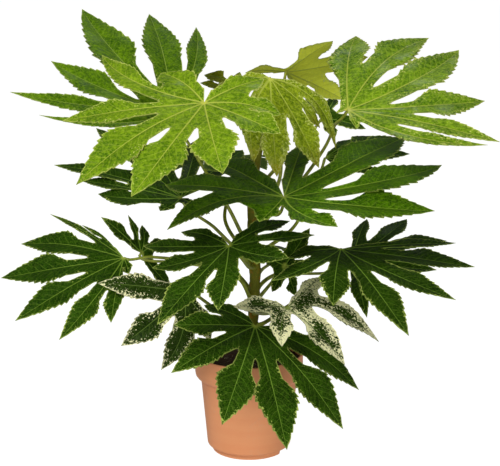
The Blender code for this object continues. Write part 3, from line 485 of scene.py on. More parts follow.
class Blade:
    """A leaf's blade. Lobe k's midrib at t from the hub to its tip runs
    hub + arm t + arch sin(pi t) up + bend 4 t (1 - t) side, and a place w to one side of it lies w along that
    side and fold w up. Neighbouring lobes are one as far as the notch between them."""

    def __init__(self, spec):
        self.hub = seen(*spec["hub"])
        self.normal = facing_way(spec["tilt"], spec["turn"])
        self.drop = spec.get("drop", DROP)
        if "fan" in spec:
            lobes, arms = self.fanned(*spec["fan"])
        else:
            lobes = list(spec["lobes"])
            arms = [self.on_blade(lobe["tip"], 0.0) for lobe in lobes]
        gaps = [lobe["notch"] for lobe in lobes[:-1]]
        total = sum(np.cross(unit(a), unit(b)) for a, b in zip(arms, arms[1:]))
        if np.dot(total, self.normal) < 0:
            lobes.reverse()
            arms.reverse()
            gaps.reverse()
        self.arms = arms
        self.out = unit(sum(unit(arm) for arm in arms) + 1e-9)
        self.frames = []
        self.bends = [0.0] * len(arms)
        self.halves = []
        for k, (lobe, arm) in enumerate(zip(lobes, arms)):
            along = unit(arm)
            side = unit(np.cross(self.normal, along))
            length = np.linalg.norm(arm)
            self.frames.append((along, side, np.cross(along, side), length))
            if lobe["mid"]:
                mid = self.on_blade(lobe["mid"], ARCH * length)
                t = min(max(np.dot(mid, along) / length, MIDDLE_PLACES[0]), MIDDLE_PLACES[1])
                bend = np.dot(mid, side) / (4 * t * (1 - t))
                self.bends[k] = float(np.clip(bend, -MOST_BEND * length, MOST_BEND * length))
            self.halves.append(self.half_of(k, lobe["wide"]))
        self.notches = [self.open_side(0, -1)]
        for k, gap in enumerate(gaps):
            self.notches.append(self.notch(k, gap))
        self.notches.append(self.open_side(len(arms) - 1, 1))

    def fanned(self, count, length):
        """Lobes evenly round the hub, the longest pointing away from the stem, as none of them is seen."""
        ahead = self.hub - stem_at(self.hub[2])[0]
        ahead = unit(ahead - self.normal * np.dot(ahead, self.normal))
        side = np.cross(self.normal, ahead)
        arms = []
        for k in range(count):
            angle = (k - (count - 1) / 2) * FAN_STEP
            reach = length * (1 - FAN_LOSS + FAN_LOSS * math.cos(angle))
            arms.append(reach * (math.cos(angle) * ahead + math.sin(angle) * side - self.drop * self.normal))
        return [lobe(None)] * count, arms

    def on_blade(self, place, lift):
        """From the hub to where a sight line meets the blade, lift above its plane, which sinks by drop."""
        ray = seen(*place, 0.0) - EYE
        out = np.zeros(3)
        for _ in range(SIGHT_ROUNDS):
            sunk = self.drop * np.linalg.norm(out) - lift
            share = (np.dot(self.normal, self.hub - EYE) - sunk) / np.dot(self.normal, ray)
            out = EYE + ray * share - self.hub
        return out

    def half_of(self, k, wide):
        """Lobe k's half width: from how wide it is seen, within what a leaf of this kind grows."""
        _, side, _, length = self.frames[k]
        if not wide:
            return LOBE_HALF_WIDTH * length
        middle, ahead = (self.rib(k, t) for t in SEEN_PLACES)
        there = picture(middle)
        forward = unit(picture(ahead) - there)
        across = (picture(middle + side * SEEN_STEP) - there) / SEEN_STEP
        units = abs(forward[0] * across[1] - forward[1] * across[0])
        return float(np.clip(FULLNESS * wide / 2 / max(units, 1.0), LEAST_HALF * length, MOST_HALF * length))

    def rib(self, k, t):
        """Places on lobe k's midrib, for one t or an array of them."""
        along, side, up, length = self.frames[k]
        t = np.asarray(t, float)[..., None]
        rise = ARCH * length * np.sin(math.pi * np.minimum(t, 1.0))
        return self.hub + along * length * t + up * rise + side * self.bends[k] * 4 * t * (1 - t)

    def place(self, k, t, w):
        """Places w to one side of lobe k's midrib, folded up by FOLD of that."""
        _, side, up, _ = self.frames[k]
        w = np.asarray(w, float)[..., None]
        return self.rib(k, t) + side * w + up * FOLD * np.abs(w)

    def notch(self, k, gap):
        """The notch between lobes k and k + 1: its point, and (t, w) where each of them has it."""
        (first, _, _, long_a), (second, _, _, long_b) = self.frames[k], self.frames[k + 1]
        half = math.acos(max(-1.0, min(1.0, float(np.dot(first, second))))) / 2
        open_by = smooth((math.degrees(half) - SINUS_ANGLES[0]) / SINUS_ANGLES[1])
        reach = SINUS_SHARE * min(long_a, long_b) * (1 - SINUS_LOSS * open_by)
        places = []
        for lobe, sign in ((k, 1), (k + 1, -1)):
            along, side, _, length = self.frames[lobe]
            t, w = reach * math.cos(half) / length, reach * math.sin(half)
            if gap:
                point = self.on_blade(gap, NOTCH_RISE * ARCH * (long_a + long_b) / 2)
                t = min(max(np.dot(point, along) / length, NOTCH_PLACES[0]), NOTCH_PLACES[1])
                w = sign * np.dot(point - self.rib(lobe, t) + self.hub, side)
                w = max(w, LEAST_NOTCH * length)
            places.append((t, w))
        (t_a, w_a), (t_b, w_b) = places
        point = (self.place(k, t_a, w_a) + self.place(k + 1, t_b, -w_b)) / 2
        return point, places[0], places[1]

    def open_side(self, k, sign):
        """The free base of the first or the last lobe, beside the stalk."""
        t, w = OPEN_PLACE, OPEN_SHARE * self.halves[k]
        return self.place(k, t, sign * w), (t, w), (t, w)

    def edge(self, k, sign, u):
        """Lobe k's smooth edge on one side at u from the notch to the tip: its points, their t and their w.
        Over the first third it is drawn towards the notch's own point."""
        point, before, after = self.notches[k + (sign > 0)]
        t0, start = before if sign > 0 else after
        t = t0 + (1 - t0) * u
        w = half_width(u, start, self.halves[k])
        away = (point - self.place(k, t0, sign * start)) * (1 - smooth(u / NOTCH_DRAW))[:, None]
        return self.place(k, t, sign * w) + away, t, sign * w


def toothed(length, rng):
    """One edge's rows from its notch to its tip, as (u, share of the half width): even to FIRST_TOOTH, then
    teeth that swell to a point facing the tip and step back behind it, then bare to the tip."""
    count = int(np.clip(round((LAST_TOOTH - FIRST_TOOTH) * length / TOOTH_PITCH), FEWEST_TEETH, MOST_TEETH))
    ends = np.linspace(FIRST_TOOTH, LAST_TOOTH, count + 1)
    ends[1:-1] += rng.uniform(-TOOTH_SHIFT, TOOTH_SHIFT, count - 1) * (ends[1] - ends[0])
    u = (ends[:-1, None] + np.diff(ends)[:, None] * np.array(TOOTH_PLACES)).ravel()
    least, growth = TOOTH_GROWTH
    size = rng.uniform(*TOOTH_SIZES, (count, 1)) * (least + growth * np.linspace(0, 1, count)[:, None])
    share = (1 + (np.array(TOOTH_SHARES) * size)).ravel()
    u = np.concatenate((BARE_PLACES, u, TIP_PLACES))
    return u, np.concatenate((np.ones(len(BARE_PLACES)), share, np.ones(len(TIP_PLACES))))


def outer_row(blade, k, sign, rng):
    """The outer row of half a lobe, from the hub to the notch and along the edge to the tip: its points, with
    a round bay past the notch, their t and w, and how far the teeth will draw each of them out."""
    _, side, _, length = blade.frames[k]
    u, share = toothed(length, rng)
    u, share = u[1:], share[1:]
    notch, before, after = blade.notches[k + (sign > 0)]
    t0, start = before if sign > 0 else after
    outer, t, w = blade.edge(k, sign, u)
    bay = BAY * smooth(u / BAY_PLACES[0]) * (1 - smooth((u - BAY_PLACES[0]) / BAY_PLACES[1]))
    outer = outer - (sign * bay)[:, None] * side
    line = blade.hub + (notch - blade.hub) * NOTCH_LINE[:, None]
    return (np.concatenate((blade.hub[None], line, outer)), np.concatenate(((0.0,), t0 * NOTCH_LINE, t)),
            np.concatenate(((0.0,), sign * start * NOTCH_LINE, w)),
            np.concatenate((np.zeros(NOTCH_ROWS + 1), w * (share - 1))))


def half_lobe(blade, k, sign, row, on_rib, push, beat):
    """Half a lobe's grid, and the t and w of its places: s of the way from the midrib to the outer row, drawn
    out by the teeth beyond TOOTH_ROOT. It is raised by a crown, 4 CROWN q (1 - q) of the half width at a
    share q of it from the midrib, and by waves along the lobe that grow with q squared and end at the tip."""
    _, side, up, length = blade.frames[k]
    outer, t, w, tooth = row
    s = np.linspace(0, 1, ACROSS + 1)
    s = s + CROWDING * np.sin(2 * math.pi * s) / (2 * math.pi)
    out_by = tooth[:, None] * smooth((s - TOOTH_ROOT) / (1 - TOOTH_ROOT))
    grid = blade.rib(k, on_rib)[:, None] * (1 - s)[:, None] + outer[:, None] * s[:, None]
    grid = grid + out_by[..., None] * (side + sign * FOLD * up)
    place_t = on_rib[:, None] * (1 - s) + t[:, None] * s
    place_w = w[:, None] * s + out_by
    beyond = smooth(np.linspace(0, 1, len(on_rib) - 1 - NOTCH_ROWS) / WAVE_START)
    out = np.concatenate((np.zeros(NOTCH_ROWS + 1), beyond))
    full = np.maximum(np.abs(w), LEAST_WIDTH)[:, None]
    q = np.abs(place_w) / full
    crown = CROWN * full * 4 * q * (1 - q)
    turns = place_t * length / WAVE_LENGTH * 2 * math.pi + beat
    wave = WAVE * out[:, None] * push * np.minimum(q, WAVE_REACH)**2 * np.sin(turns)
    rise = crown + wave * np.minimum(1, WAVE_END * (1 - on_rib))[:, None]
    return grid + rise[..., None] * up, place_t, place_w


def cells(grid):
    """The four corners of each cell of a grid, in turn."""
    return np.stack((grid[:-1, :-1], grid[1:, :-1], grid[1:, 1:], grid[:-1, 1:]), axis=2)


def leaf_sheet(blade, rng):
    """The blade's middle surface: points, faces, what is known at each of their corners, and the outline.
    Both halves of a lobe share the midrib, and neighbouring lobes the points from the hub to their notch."""
    points = [blade.hub[None]]

    def keep(new):
        """Adds points to the sheet and gives their numbers."""
        first = sum(len(some) for some in points)
        points.append(new)
        return first + np.arange(len(new))

    lines = [keep(blade.hub + (notch - blade.hub) * NOTCH_LINE[:, None]) for notch, _, _ in blade.notches]
    quads, facts, outline = [], [], [np.array([0]), lines[0]]
    for k, (_, _, _, length) in enumerate(blade.frames):
        rows = [outer_row(blade, k, sign, rng) for sign in (-1, 1)]
        on_rib = (rows[0][1] + rows[1][1]) / 2
        last = len(on_rib) - 1
        ribs = np.concatenate(((0,), keep(blade.rib(k, on_rib)[1:])))
        beats, push = rng.uniform(0, 2 * math.pi, 2), rng.uniform(*WAVE_SIZES, 2)[0]
        edges = []
        for sign, row, beat in zip((-1, 1), rows, beats):
            grid, place_t, place_w = half_lobe(blade, k, sign, row, on_rib, push, beat)
            index = np.empty((last + 1, ACROSS + 1), int)
            index[0] = 0
            index[:, 0] = ribs
            index[1:NOTCH_ROWS + 1, -1] = lines[k + (sign > 0)]
            index[1:last, 1:-1] = keep(grid[1:last, 1:-1].reshape(-1, 3)).reshape(last - 1, -1)
            index[NOTCH_ROWS + 1:last, -1] = keep(grid[NOTCH_ROWS + 1:last, -1])
            index[last] = ribs[-1]
            fact = np.stack((place_t * length, place_w, np.full_like(place_t, length),
                             np.full_like(place_t, k + 0.5 * (sign > 0))), axis=-1)
            corners, known = cells(index), cells(fact)
            if sign < 0:
                corners, known = corners[..., ::-1], known[..., ::-1, :]
            quads.append(corners.reshape(-1, 4))
            facts.append(known.reshape(-1, 4, 4))
            edges.append(index[NOTCH_ROWS + 1:, -1])
        outline += [edges[0], edges[1][:-1][::-1], lines[k + 1][-1:]]
    outline.append(lines[-1][:-1][::-1])
    return np.concatenate(points), np.concatenate(quads), np.concatenate(facts), np.concatenate(outline)


def corner_sum(count, faces, values):
    """Adds a face's value to each of its corners."""
    total = np.zeros((count, values.shape[1]))
    for corner in range(faces.shape[1]):
        np.add.at(total, faces[:, corner], values)
    return total


def three(first, second, third):
    return np.stack(np.broadcast_arrays(first, second, third), axis=-1)


def closed_rings(rings, start, end):
    """A closed body of rings of points, each joined to the next, and of fans that join the first ring to a
    start point and the last one to an end point. Gives points and faces."""
    count, sides, _ = rings.shape
    here = np.arange(count * sides).reshape(count, sides)
    there = np.roll(here, -1, axis=1)
    walls = np.stack((here[:-1], there[:-1], there[1:], here[1:]), axis=-1).reshape(-1, 4)
    foot = three(there[0], here[0], count * sides)
    top = three(here[-1], there[-1], count * sides + 1)
    return np.concatenate((rings.reshape(-1, 3), [start], [end])), [walls, foot, top]


def tube(path, radii, sides, ripple):
    """A closed tube: its section, a circle of the radius at each place, is carried along path without twist.
    ripple holds the shares by which the radius swells at each (place, side)."""
    along = np.gradient(path, axis=0)
    along /= np.linalg.norm(along, axis=1)[:, None]
    across = np.empty_like(path)
    carried = np.cross(along[0], (0.31, -0.85, 0.42))
    for ring, direction in enumerate(along):
        carried = unit(carried - direction * np.dot(carried, direction))
        across[ring] = carried
    other = np.cross(along, across)
    angle = 2 * math.pi * np.arange(sides) / sides
    reach = (radii[:, None] * (1 + ripple))[..., None]
    cos, sin = np.cos(angle)[:, None], np.sin(angle)[:, None]
    rings = path[:, None] + reach * (cos * across[:, None] + sin * other[:, None])
    return closed_rings(rings, path[0], path[-1])


def new_thing(name, data):
    """An object of a mesh, a light or a lens, put in the scene."""
    thing = bpy.data.objects.new(name, data)
    bpy.context.scene.collection.objects.link(thing)
    return thing


def new_piece(name, points, faces, materials, node):
    """A smooth-shaded mesh object at the origin that rides on the root and stands for a solid. faces holds
    arrays, each with a row of corners for every face of one size."""
    points = np.clip(points, solid_low, solid_high)
    corners = np.concatenate([block.ravel() for block in faces]).astype(np.int32)
    sizes = np.concatenate([np.full(len(block), block.shape[1]) for block in faces]).astype(np.int32)
    mesh = bpy.data.meshes.new(name)
    mesh.vertices.add(len(points))
    mesh.loops.add(len(corners))
    mesh.polygons.add(len(sizes))
    mesh.vertices.foreach_set("co", points.astype(np.float32).ravel())
    mesh.loops.foreach_set("vertex_index", corners)
    mesh.polygons.foreach_set("loop_start", np.cumsum(sizes) - sizes)
    mesh.polygons.foreach_set("loop_total", sizes)
    for material in materials:
        mesh.materials.append(material)
    mesh.polygons.foreach_set("use_smooth", np.ones(len(sizes), bool))
    mesh.update(calc_edges=True)
    piece = new_thing(name, mesh)
    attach(piece, "root")
    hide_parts(node)
    return piece


def keep_at_corners(mesh, name, values):
    """Stores three numbers at each face corner for the materials to read."""
    values = np.concatenate([block.reshape(-1, 3) for block in values])
    attribute = mesh.attributes.new(name, "FLOAT_VECTOR", "CORNER")
    attribute.data.foreach_set("vector", np.ascontiguousarray(values, dtype=np.float32).ravel())


def leaf_stalk(blade, spec):
    """A leaf's stalk: from the stem's axis, out and up, past the places named, to the blade at its hub, wide
    and clasping at its foot and thicker again under the blade. Gives points, faces, and how far along it each
    point lies."""
    foot, _ = stem_at(spec["joint"])
    passed = [seen(*place) for place in spec.get("via", ())]
    arrive = unit(STALK_END_UP * blade.normal + STALK_END_OUT * blade.out)
    top = blade.hub + blade.normal * BLADE_THICKNESS / 2
    level = ((passed[0] if passed else blade.hub) - foot) * np.array((1, 1, 0))
    leave = unit(level) * STALK_OUT + np.array((0, 0, spec.get("lift", STALK_LIFT)))
    path = curve_through([foot, *passed, top], leave, arrive, STALK_RINGS)
    shares = np.linspace(0, 1, STALK_RINGS)
    far = shares * np.sum(np.linalg.norm(np.diff(path, axis=0), axis=1))
    radii = STALK_FOOT_RADIUS + (STALK_TOP_RADIUS - STALK_FOOT_RADIUS) * shares**STALK_TAPER
    clasp = CLASP * (1 - smooth((far - CLASP_PLACES[0]) / CLASP_PLACES[1]))
    cap = STALK_CAP * smooth((shares - STALK_CAP_PLACES[0]) / STALK_CAP_PLACES[1])
    radii = radii * STALK_SHARE + clasp + cap
    radii[-1] *= STALK_TIP
    angle = 2 * math.pi * np.arange(STALK_SIDES) / STALK_SIDES
    ridges = np.cos(STALK_RIDGES * angle + shares[:, None] * RIDGE_TURN)
    ripple = RIDGE_HEIGHT * ridges * smooth(shares * RIDGE_START)[:, None]
    points, faces = tube(path, radii, STALK_SIDES, ripple)
    return points, faces, np.concatenate((np.repeat(far, STALK_SIDES), far[:1], far[-1:]))


def cut_corners(sheet, known):
    """A sheet's faces and what is known at their corners: the whole quads, and as triangles those with a
    corner that is the same point as the one before it."""
    kept = sheet != np.roll(sheet, 1, axis=1)
    whole = kept.all(axis=1)
    cut = kept & ~whole[:, None]
    return (sheet[whole], known[whole]), (sheet[cut].reshape(-1, 3), known[cut].reshape(-1, 3, 4))


def build_leaf(node_name, spec, number):
    """One leaf: its sheet given BLADE_THICKNESS, half of it to either side along the mean normal, thinner at
    the rim, and its stalk. At its corners "place" is (along the lobe, across it, from the rim) and "more" is
    (from the hub, the lobe's length, its number)."""
    blade = Blade(spec)
    points, quads, facts, outline = leaf_sheet(blade, np.random.default_rng(100 + number))
    count = len(points)
    diagonal = np.cross(points[quads[:, 2]] - points[quads[:, 0]], points[quads[:, 3]] - points[quads[:, 1]])
    normals = corner_sum(count, quads, diagonal)
    normals /= np.maximum(np.linalg.norm(normals, axis=1), 1e-12)[:, None]
    rim_points = points[outline[1:]]
    rim = np.sqrt(np.min(np.sum((points[:, None] - rim_points[None])**2, axis=2), axis=1))
    half = BLADE_THICKNESS * (RIM_HALF + (0.5 - RIM_HALF) * smooth(rim / RIM_BAND))
    upper = points + normals * half[:, None]
    lower = points - normals * half[:, None]
    reach = np.linalg.norm(points - blade.hub, axis=1)

    parts = []
    for sheet, known, shift, face_slot in ((quads, facts, 0, 0), (quads[:, ::-1], facts[:, ::-1], count, 1)):
        for face, told in cut_corners(sheet, known):
            parts.append((face + shift, three(told[..., 0], told[..., 1], rim[face]),
                          three(reach[face], told[..., 2], told[..., 3]), face_slot))
    there = np.roll(outline, -1)
    walls = np.stack((there, there + count, outline + count, outline), axis=-1)
    out = reach[walls % count]
    parts.append((walls, three(out, 0.0, 0.0), three(out, 0.1, 0.0), 0))
    stalk_points, stalk_faces, stalk_reach = leaf_stalk(blade, spec)
    for face in stalk_faces:
        up, whole = stalk_reach[face], stalk_reach[-1]
        parts.append((face + 2 * count, three(up, 0.0, 0.0), three(whole - up, whole, 0.0), 2))
    faces, place, more, slots = zip(*parts)

    name = node_name.removeprefix("leaf_") + "_leaf"
    piece = new_piece(name, np.concatenate((upper, lower, stalk_points)), faces,
                      leaf_materials(node_name, spec), node_name)
    which = np.repeat(slots, [len(face) for face in faces])
    piece.data.polygons.foreach_set("material_index", which.astype(np.int32))
    keep_at_corners(piece.data, "place", place)
    keep_at_corners(piece.data, "more", more)


def colour(red, green, blue):
    """A colour given as the eye reads it off a screen, 0 to 255, in the linear values that shaders take."""
    channels = np.array((red, green, blue)) / 255
    linear = np.where(channels < 0.04045, channels / 12.92, ((channels + 0.055) / 1.055)**2.4)
    return (*linear.tolist(), 1.0)


def feed(tree, node, feeds):
    """Puts each of feeds, (socket, value or another node's socket), into a node."""
    for socket, value in feeds:
        if isinstance(value, bpy.types.NodeSocket):
            tree.links.new(value, node.inputs[socket])
        else:
            node.inputs[socket].default_value = value
    return node


def add(tree, kind, feeds=(), **settings):
    """A new node of a kind, with its settings and feeds."""
    made = tree.nodes.new(kind)
    for key, value in settings.items():
        setattr(made, key, value)
    return feed(tree, made, feeds)


def math_of(tree, operation, *values, clamp=False):
    return add(tree, "ShaderNodeMath", enumerate(values), operation=operation, use_clamp=clamp).outputs[0]


def plus(tree, first, second):
    return math_of(tree, "ADD", first, second)


def less(tree, first, second, clamp=False):
    return math_of(tree, "SUBTRACT", first, second, clamp=clamp)


def times(tree, first, second):
    return math_of(tree, "MULTIPLY", first, second)


def spread(tree, value, start, end):
    """0 up to start, rising evenly to 1 at end."""
    return add(tree, "ShaderNodeMapRange", ((0, value), (1, start), (2, end)), clamp=True).outputs[0]


def fade(tree, value, start, end, high=1.0, low=0.0):
    """high up to start, easing to low at end."""
    return add(tree, "ShaderNodeMapRange", ((0, value), (1, start), (2, end), (3, high), (4, low)),
               interpolation_type="SMOOTHSTEP").outputs[0]


def blend(tree, share, under, over):
    return add(tree, "ShaderNodeMix", ((0, share), (6, under), (7, over)), data_type="RGBA").outputs[2]


def noise(tree, where, scale, detail=2.0, rough=0.5, stretch=0.0):
    return add(tree, "ShaderNodeTexNoise", (("Vector", where), ("Scale", scale), ("Detail", detail),
                                            ("Roughness", rough), ("Distortion", stretch))).outputs[0]


def new_skin(name):
    """A new material with its node tree, its shader and the place in the piece's own space."""
    material = bpy.data.materials.new(name)
    material.use_nodes = True
    tree = material.node_tree
    where = add(tree, "ShaderNodeTexCoord").outputs["Object"]
    return material, tree, tree.nodes["Principled BSDF"], where


def bumped(tree, strength, distance, height, underneath=False):
    """The normals of a bump from a height mask, turned over for a face seen from below."""
    return add(tree, "ShaderNodeBump", (("Strength", strength), ("Distance", distance), ("Height", height)),
               invert=underneath).outputs[0]


def at_corners(tree, name):
    """Three numbers that keep_at_corners stored, as one vector."""
    return add(tree, "ShaderNodeAttribute", attribute_name=name, attribute_type="GEOMETRY").outputs["Vector"]


def split(tree, vector):
    """A vector's three numbers."""
    return add(tree, "ShaderNodeSeparateXYZ", ((0, vector),)).outputs


def new_group(name, inputs, outputs):
    """An empty node group with float or vector inputs, (name, kind, value), and float outputs."""
    group = bpy.data.node_groups.new(name, "ShaderNodeTree")
    for label, kind, value in inputs:
        made = group.interface.new_socket(label, in_out="INPUT", socket_type=kind)
        if value is not None:
            made.default_value = value
    for label in outputs:
        group.interface.new_socket(label, in_out="OUTPUT", socket_type="NodeSocketFloat")
    return group, group.nodes.new("NodeGroupInput").outputs, group.nodes.new("NodeGroupOutput")


def vein_group():
    """Masks of a lobe's veins. A side vein leaves the midrib at a and lies where along = a + lean w + bow w
    squared, a side vein every Spacing, in turn on either side; the net is the edges of small cells; Height
    sinks at veins and swells between them."""
    numbers = [(name, "NodeSocketFloat", value) for name, value in (("Spacing", 0.011), ("Width", 0.0007),
                                                                    ("Midrib", 0.0013), ("Net scale", 300.0))]
    group, given, result = new_group("leaf veins", [("Place", "NodeSocketVector", None),
                                                    ("More", "NodeSocketVector", None)] + numbers,
                                     ("Midrib", "Side veins", "Net", "Height"))
    along, across, rim = split(group, given["Place"])
    reach, length, lobe_number = split(group, given["More"])
    where = add(group, "ShaderNodeTexCoord").outputs["Object"]
    off = math_of(group, "ABSOLUTE", across)
    wobble = times(group, less(group, noise(group, where, 45.0), 0.5), VEIN_WANDER)
    lean = times(group, off, VEIN_LEAN)
    bow = times(group, times(group, off, off), VEIN_BOW)
    line = less(group, less(group, plus(group, along, wobble), lean), bow)
    phase = math_of(group, "DIVIDE", line, given["Spacing"])
    phase = plus(group, phase, times(group, lobe_number, VEIN_STEP))
    near = math_of(group, "PINGPONG", phase, 0.5)
    away = times(group, near, given["Spacing"])
    taper = fade(group, off, 0.0, VEIN_REACH, 1.0, VEIN_THIN)
    width = times(group, given["Width"], taper)
    side = fade(group, away, times(group, width, 0.35), width)
    side = times(group, side, fade(group, reach, 0.004, 0.014, 0.0, 1.0))
    side = times(group, side, fade(group, rim, 0.0, 0.003, 0.25, 1.0))
    run = math_of(group, "DIVIDE", along, length)
    thick = times(group, given["Midrib"], fade(group, run, 0.0, 1.0, 1.0, MIDRIB_THIN))
    midrib = fade(group, off, times(group, thick, 0.45), thick)
    cells = add(group, "ShaderNodeTexVoronoi", (("Vector", where), ("Scale", given["Net scale"])),
                feature="DISTANCE_TO_EDGE").outputs[0]
    net = fade(group, cells, 0.02, 0.12)
    swell = times(group, math_of(group, "SMOOTH_MIN", near, 0.32, 0.2), 1.6)
    height = less(group, swell, times(group, midrib, 0.9))
    height = less(group, height, times(group, net, 0.10))
    for label, value in (("Midrib", midrib), ("Side veins", side), ("Net", net), ("Height", height)):
        group.links.new(value, result.inputs[label])
    return group


def speck_group():
    """A mask of pale specks: noise over a level that rises from Cover at the rim to none at Reach from it."""
    group, given, result = new_group("leaf specks", (
        ("Place", "NodeSocketVector", None), ("Cover", "NodeSocketFloat", 0.5),
        ("Reach", "NodeSocketFloat", 0.008), ("Scale", "NodeSocketFloat", 330.0)), ("Specks",))
    rim = split(group, given["Place"])[2]
    where = add(group, "ShaderNodeTexCoord").outputs["Object"]
    grain = noise(group, where, given["Scale"], 3.0, 0.65)
    patches = noise(group, where, 38.0, 2.0)
    depth = less(group, 1.0, math_of(group, "DIVIDE", rim, given["Reach"]), clamp=True)
    depth = math_of(group, "POWER", depth, 0.7)
    cover = times(group, times(group, depth, given["Cover"]), plus(group, times(group, patches, 1.6), 0.2))
    level = less(group, 0.74, times(group, cover, 0.42))
    over = less(group, grain, level)
    group.links.new(fade(group, over, -0.015, 0.03, 0.0, 1.0), result.inputs["Specks"])
    return group


VEINS = vein_group()
SPECKS = speck_group()


def leaf_skin(name, look, underneath):
    """A blade's upper or lower face: dark and light green in patches, pale veins, specks towards the rim, a
    spot of vein colour where the midribs meet, and a bump that swells between the veins."""
    material, tree, shader, where = new_skin(name)
    place, more = at_corners(tree, "place"), at_corners(tree, "more")
    veins = add(tree, "ShaderNodeGroup", (
        ("Place", place), ("More", more), ("Spacing", look["spacing"]), ("Width", look["side_vein"]),
        ("Midrib", look["midrib"])), node_tree=VEINS).outputs
    specks = add(tree, "ShaderNodeGroup", (
        ("Place", place), ("Cover", look["cover"]), ("Reach", look["reach"])), node_tree=SPECKS).outputs[0]
    along, _, rim = split(tree, place)
    from_hub, length, _ = split(tree, more)

    patch = spread(tree, noise(tree, where, 24.0, 4.0, 0.6), 0.36, 0.64)
    paling = plus(tree, 0.4, times(tree, patch, 0.6))
    fine = spread(tree, noise(tree, where, 230.0, 4.0, 0.68), 0.42, 0.62)
    patch = plus(tree, times(tree, patch, 1 - look["fleck"]), times(tree, fine, look["fleck"]))
    dark, light, vein, speck = (colour(*look[part]) for part in ("dark", "light", "vein", "speck"))
    if underneath:
        under = colour(*look["under"])
        dark, light = (tuple((1 - UNDER_SHARE) * a + UNDER_SHARE * b for a, b in zip(tone, under))
                       for tone in (dark, light))
    surface = blend(tree, patch, dark, light)
    surface = blend(tree, times(tree, veins["Net"], look["net"]), surface, vein)
    surface = blend(tree, specks, surface, speck)
    edge = times(tree, fade(tree, rim, 0.0007, 0.0019, look["margin"], 0.0), paling)
    surface = blend(tree, edge, surface, speck)
    surface = blend(tree, times(tree, veins["Side veins"], look["vein_share"]), surface, vein)
    surface = blend(tree, times(tree, veins["Midrib"], look["rib_share"]), surface, vein)
    spot = fade(tree, from_hub, 0.002, 0.0075, 0.9, 0.0)
    surface = blend(tree, spot, surface, colour(*look["hub"]))
    if "end_colour" in look:
        run = math_of(tree, "DIVIDE", along, length)
        ends = times(tree, fade(tree, run, 0.72, 1.02, 0.0, 0.9), patch)
        surface = blend(tree, ends, surface, colour(*look["end_colour"]))
    rougher, duller, bare = UNDER_FINISH if underneath else (0.0, 1.0, 1.0)
    glazed = fade(tree, noise(tree, where, 34.0, 3.0, 0.6), 0.47, 0.62, 0.0, look["sheen"] * bare)
    relief = plus(tree, veins["Height"], times(tree, fine, 0.25))
    feed(tree, shader, (
        ("Base Color", surface), ("Roughness", plus(tree, look["rough"] + rougher, times(tree, fine, 0.14))),
        ("Specular IOR Level", look["gloss"] * duller), ("Coat Weight", glazed), ("Coat Roughness", 0.3),
        ("Normal", bumped(tree, 0.7, look["relief"], relief, underneath))))
    return material


def stalk_skin(name, look):
    """A leaf stalk: streaked along its length, darker or redder in places, pale where the blade starts."""
    material, tree, shader, where = new_skin(name)
    to_blade = split(tree, at_corners(tree, "more"))[0]
    streaks = spread(tree, noise(tree, where, 90.0, 3.0, 0.6, 0.4), 0.35, 0.65)
    surface = blend(tree, streaks, colour(*look["stalk_dark"]), colour(*look["stalk"]))
    surface = blend(tree, fade(tree, to_blade, 0.0, 0.02, 0.7, 0.0), surface, colour(*look["hub"]))
    specks = fade(tree, noise(tree, where, 700.0, 2.0), 0.62, 0.70, 0.0, 0.5)
    surface = blend(tree, specks, surface, colour(*look["stalk_dark"]))
    feed(tree, shader, (("Base Color", surface), ("Roughness", 0.42),
                        ("Normal", bumped(tree, 0.5, 0.0004, streaks))))
    return material


def leaf_materials(node_name, spec):
    look = dict(LEAF_LOOKS[spec.get("kind", "green")])
    look.update(OWN_LOOKS.get(node_name, {}))
    name = node_name.removeprefix("leaf_")
    return (leaf_skin(name + "_upper_face", look, False), leaf_skin(name + "_lower_face", look, True),
            stalk_skin(name + "_stalk", look))


def pot_skin():
    """Moulded terracotta plastic: faintly grained, a little lighter and darker in bands round it."""
    material, tree, shader, where = new_skin("terracotta_plastic")
    tone = {part: colour(*numbers) for part, numbers in POT_COLOURS.items()}
    flat = add(tree, "ShaderNodeMapping", (("Vector", where), ("Scale", (6.0, 6.0, 60.0)))).outputs[0]
    bands = noise(tree, flat, 1.0, 3.0, 0.55)
    grain = noise(tree, where, 900.0, 3.0, 0.6)
    scuffs = fade(tree, noise(tree, where, 46.0, 5.0, 0.7), 0.56, 0.72, 0.0, 0.35)
    surface = blend(tree, bands, tone["low"], tone["high"])
    surface = blend(tree, scuffs, surface, tone["scuff"])
    surface = blend(tree, times(tree, grain, 0.12), surface, tone["grain"])
    feed(tree, shader, (("Base Color", surface), ("Roughness", plus(tree, 0.42, times(tree, bands, 0.2))),
                        ("Specular IOR Level", 0.35), ("Normal", bumped(tree, 0.35, 0.0003, grain))))
    return material


def soil_skin():
    """Potting soil: dark brown crumbs, redder fibres and a few pale grains."""
    material, tree, shader, where = new_skin("crumbled_soil")
    tone = {part: colour(*numbers) for part, numbers in SOIL_COLOURS.items()}
    crumbs = noise(tree, where, 260.0, 6.0, 0.7)
    fibres = noise(tree, where, 90.0, 4.0, 0.6, 1.5)
    cells = add(tree, "ShaderNodeTexVoronoi", (("Vector", where), ("Scale", 420.0))).outputs["Color"]
    grains = add(tree, "ShaderNodeSeparateColor", ((0, cells),)).outputs[0]
    surface = blend(tree, crumbs, tone["dark"], tone["light"])
    surface = blend(tree, fade(tree, fibres, 0.56, 0.66, 0.0, 0.7), surface, tone["fibre"])
    surface = blend(tree, fade(tree, grains, 0.955, 0.975, 0.0, 0.8), surface, tone["grain"])
    feed(tree, shader, (("Base Color", surface), ("Roughness", 0.92),
                        ("Normal", bumped(tree, 1.0, 0.0016, crumbs))))
    return material


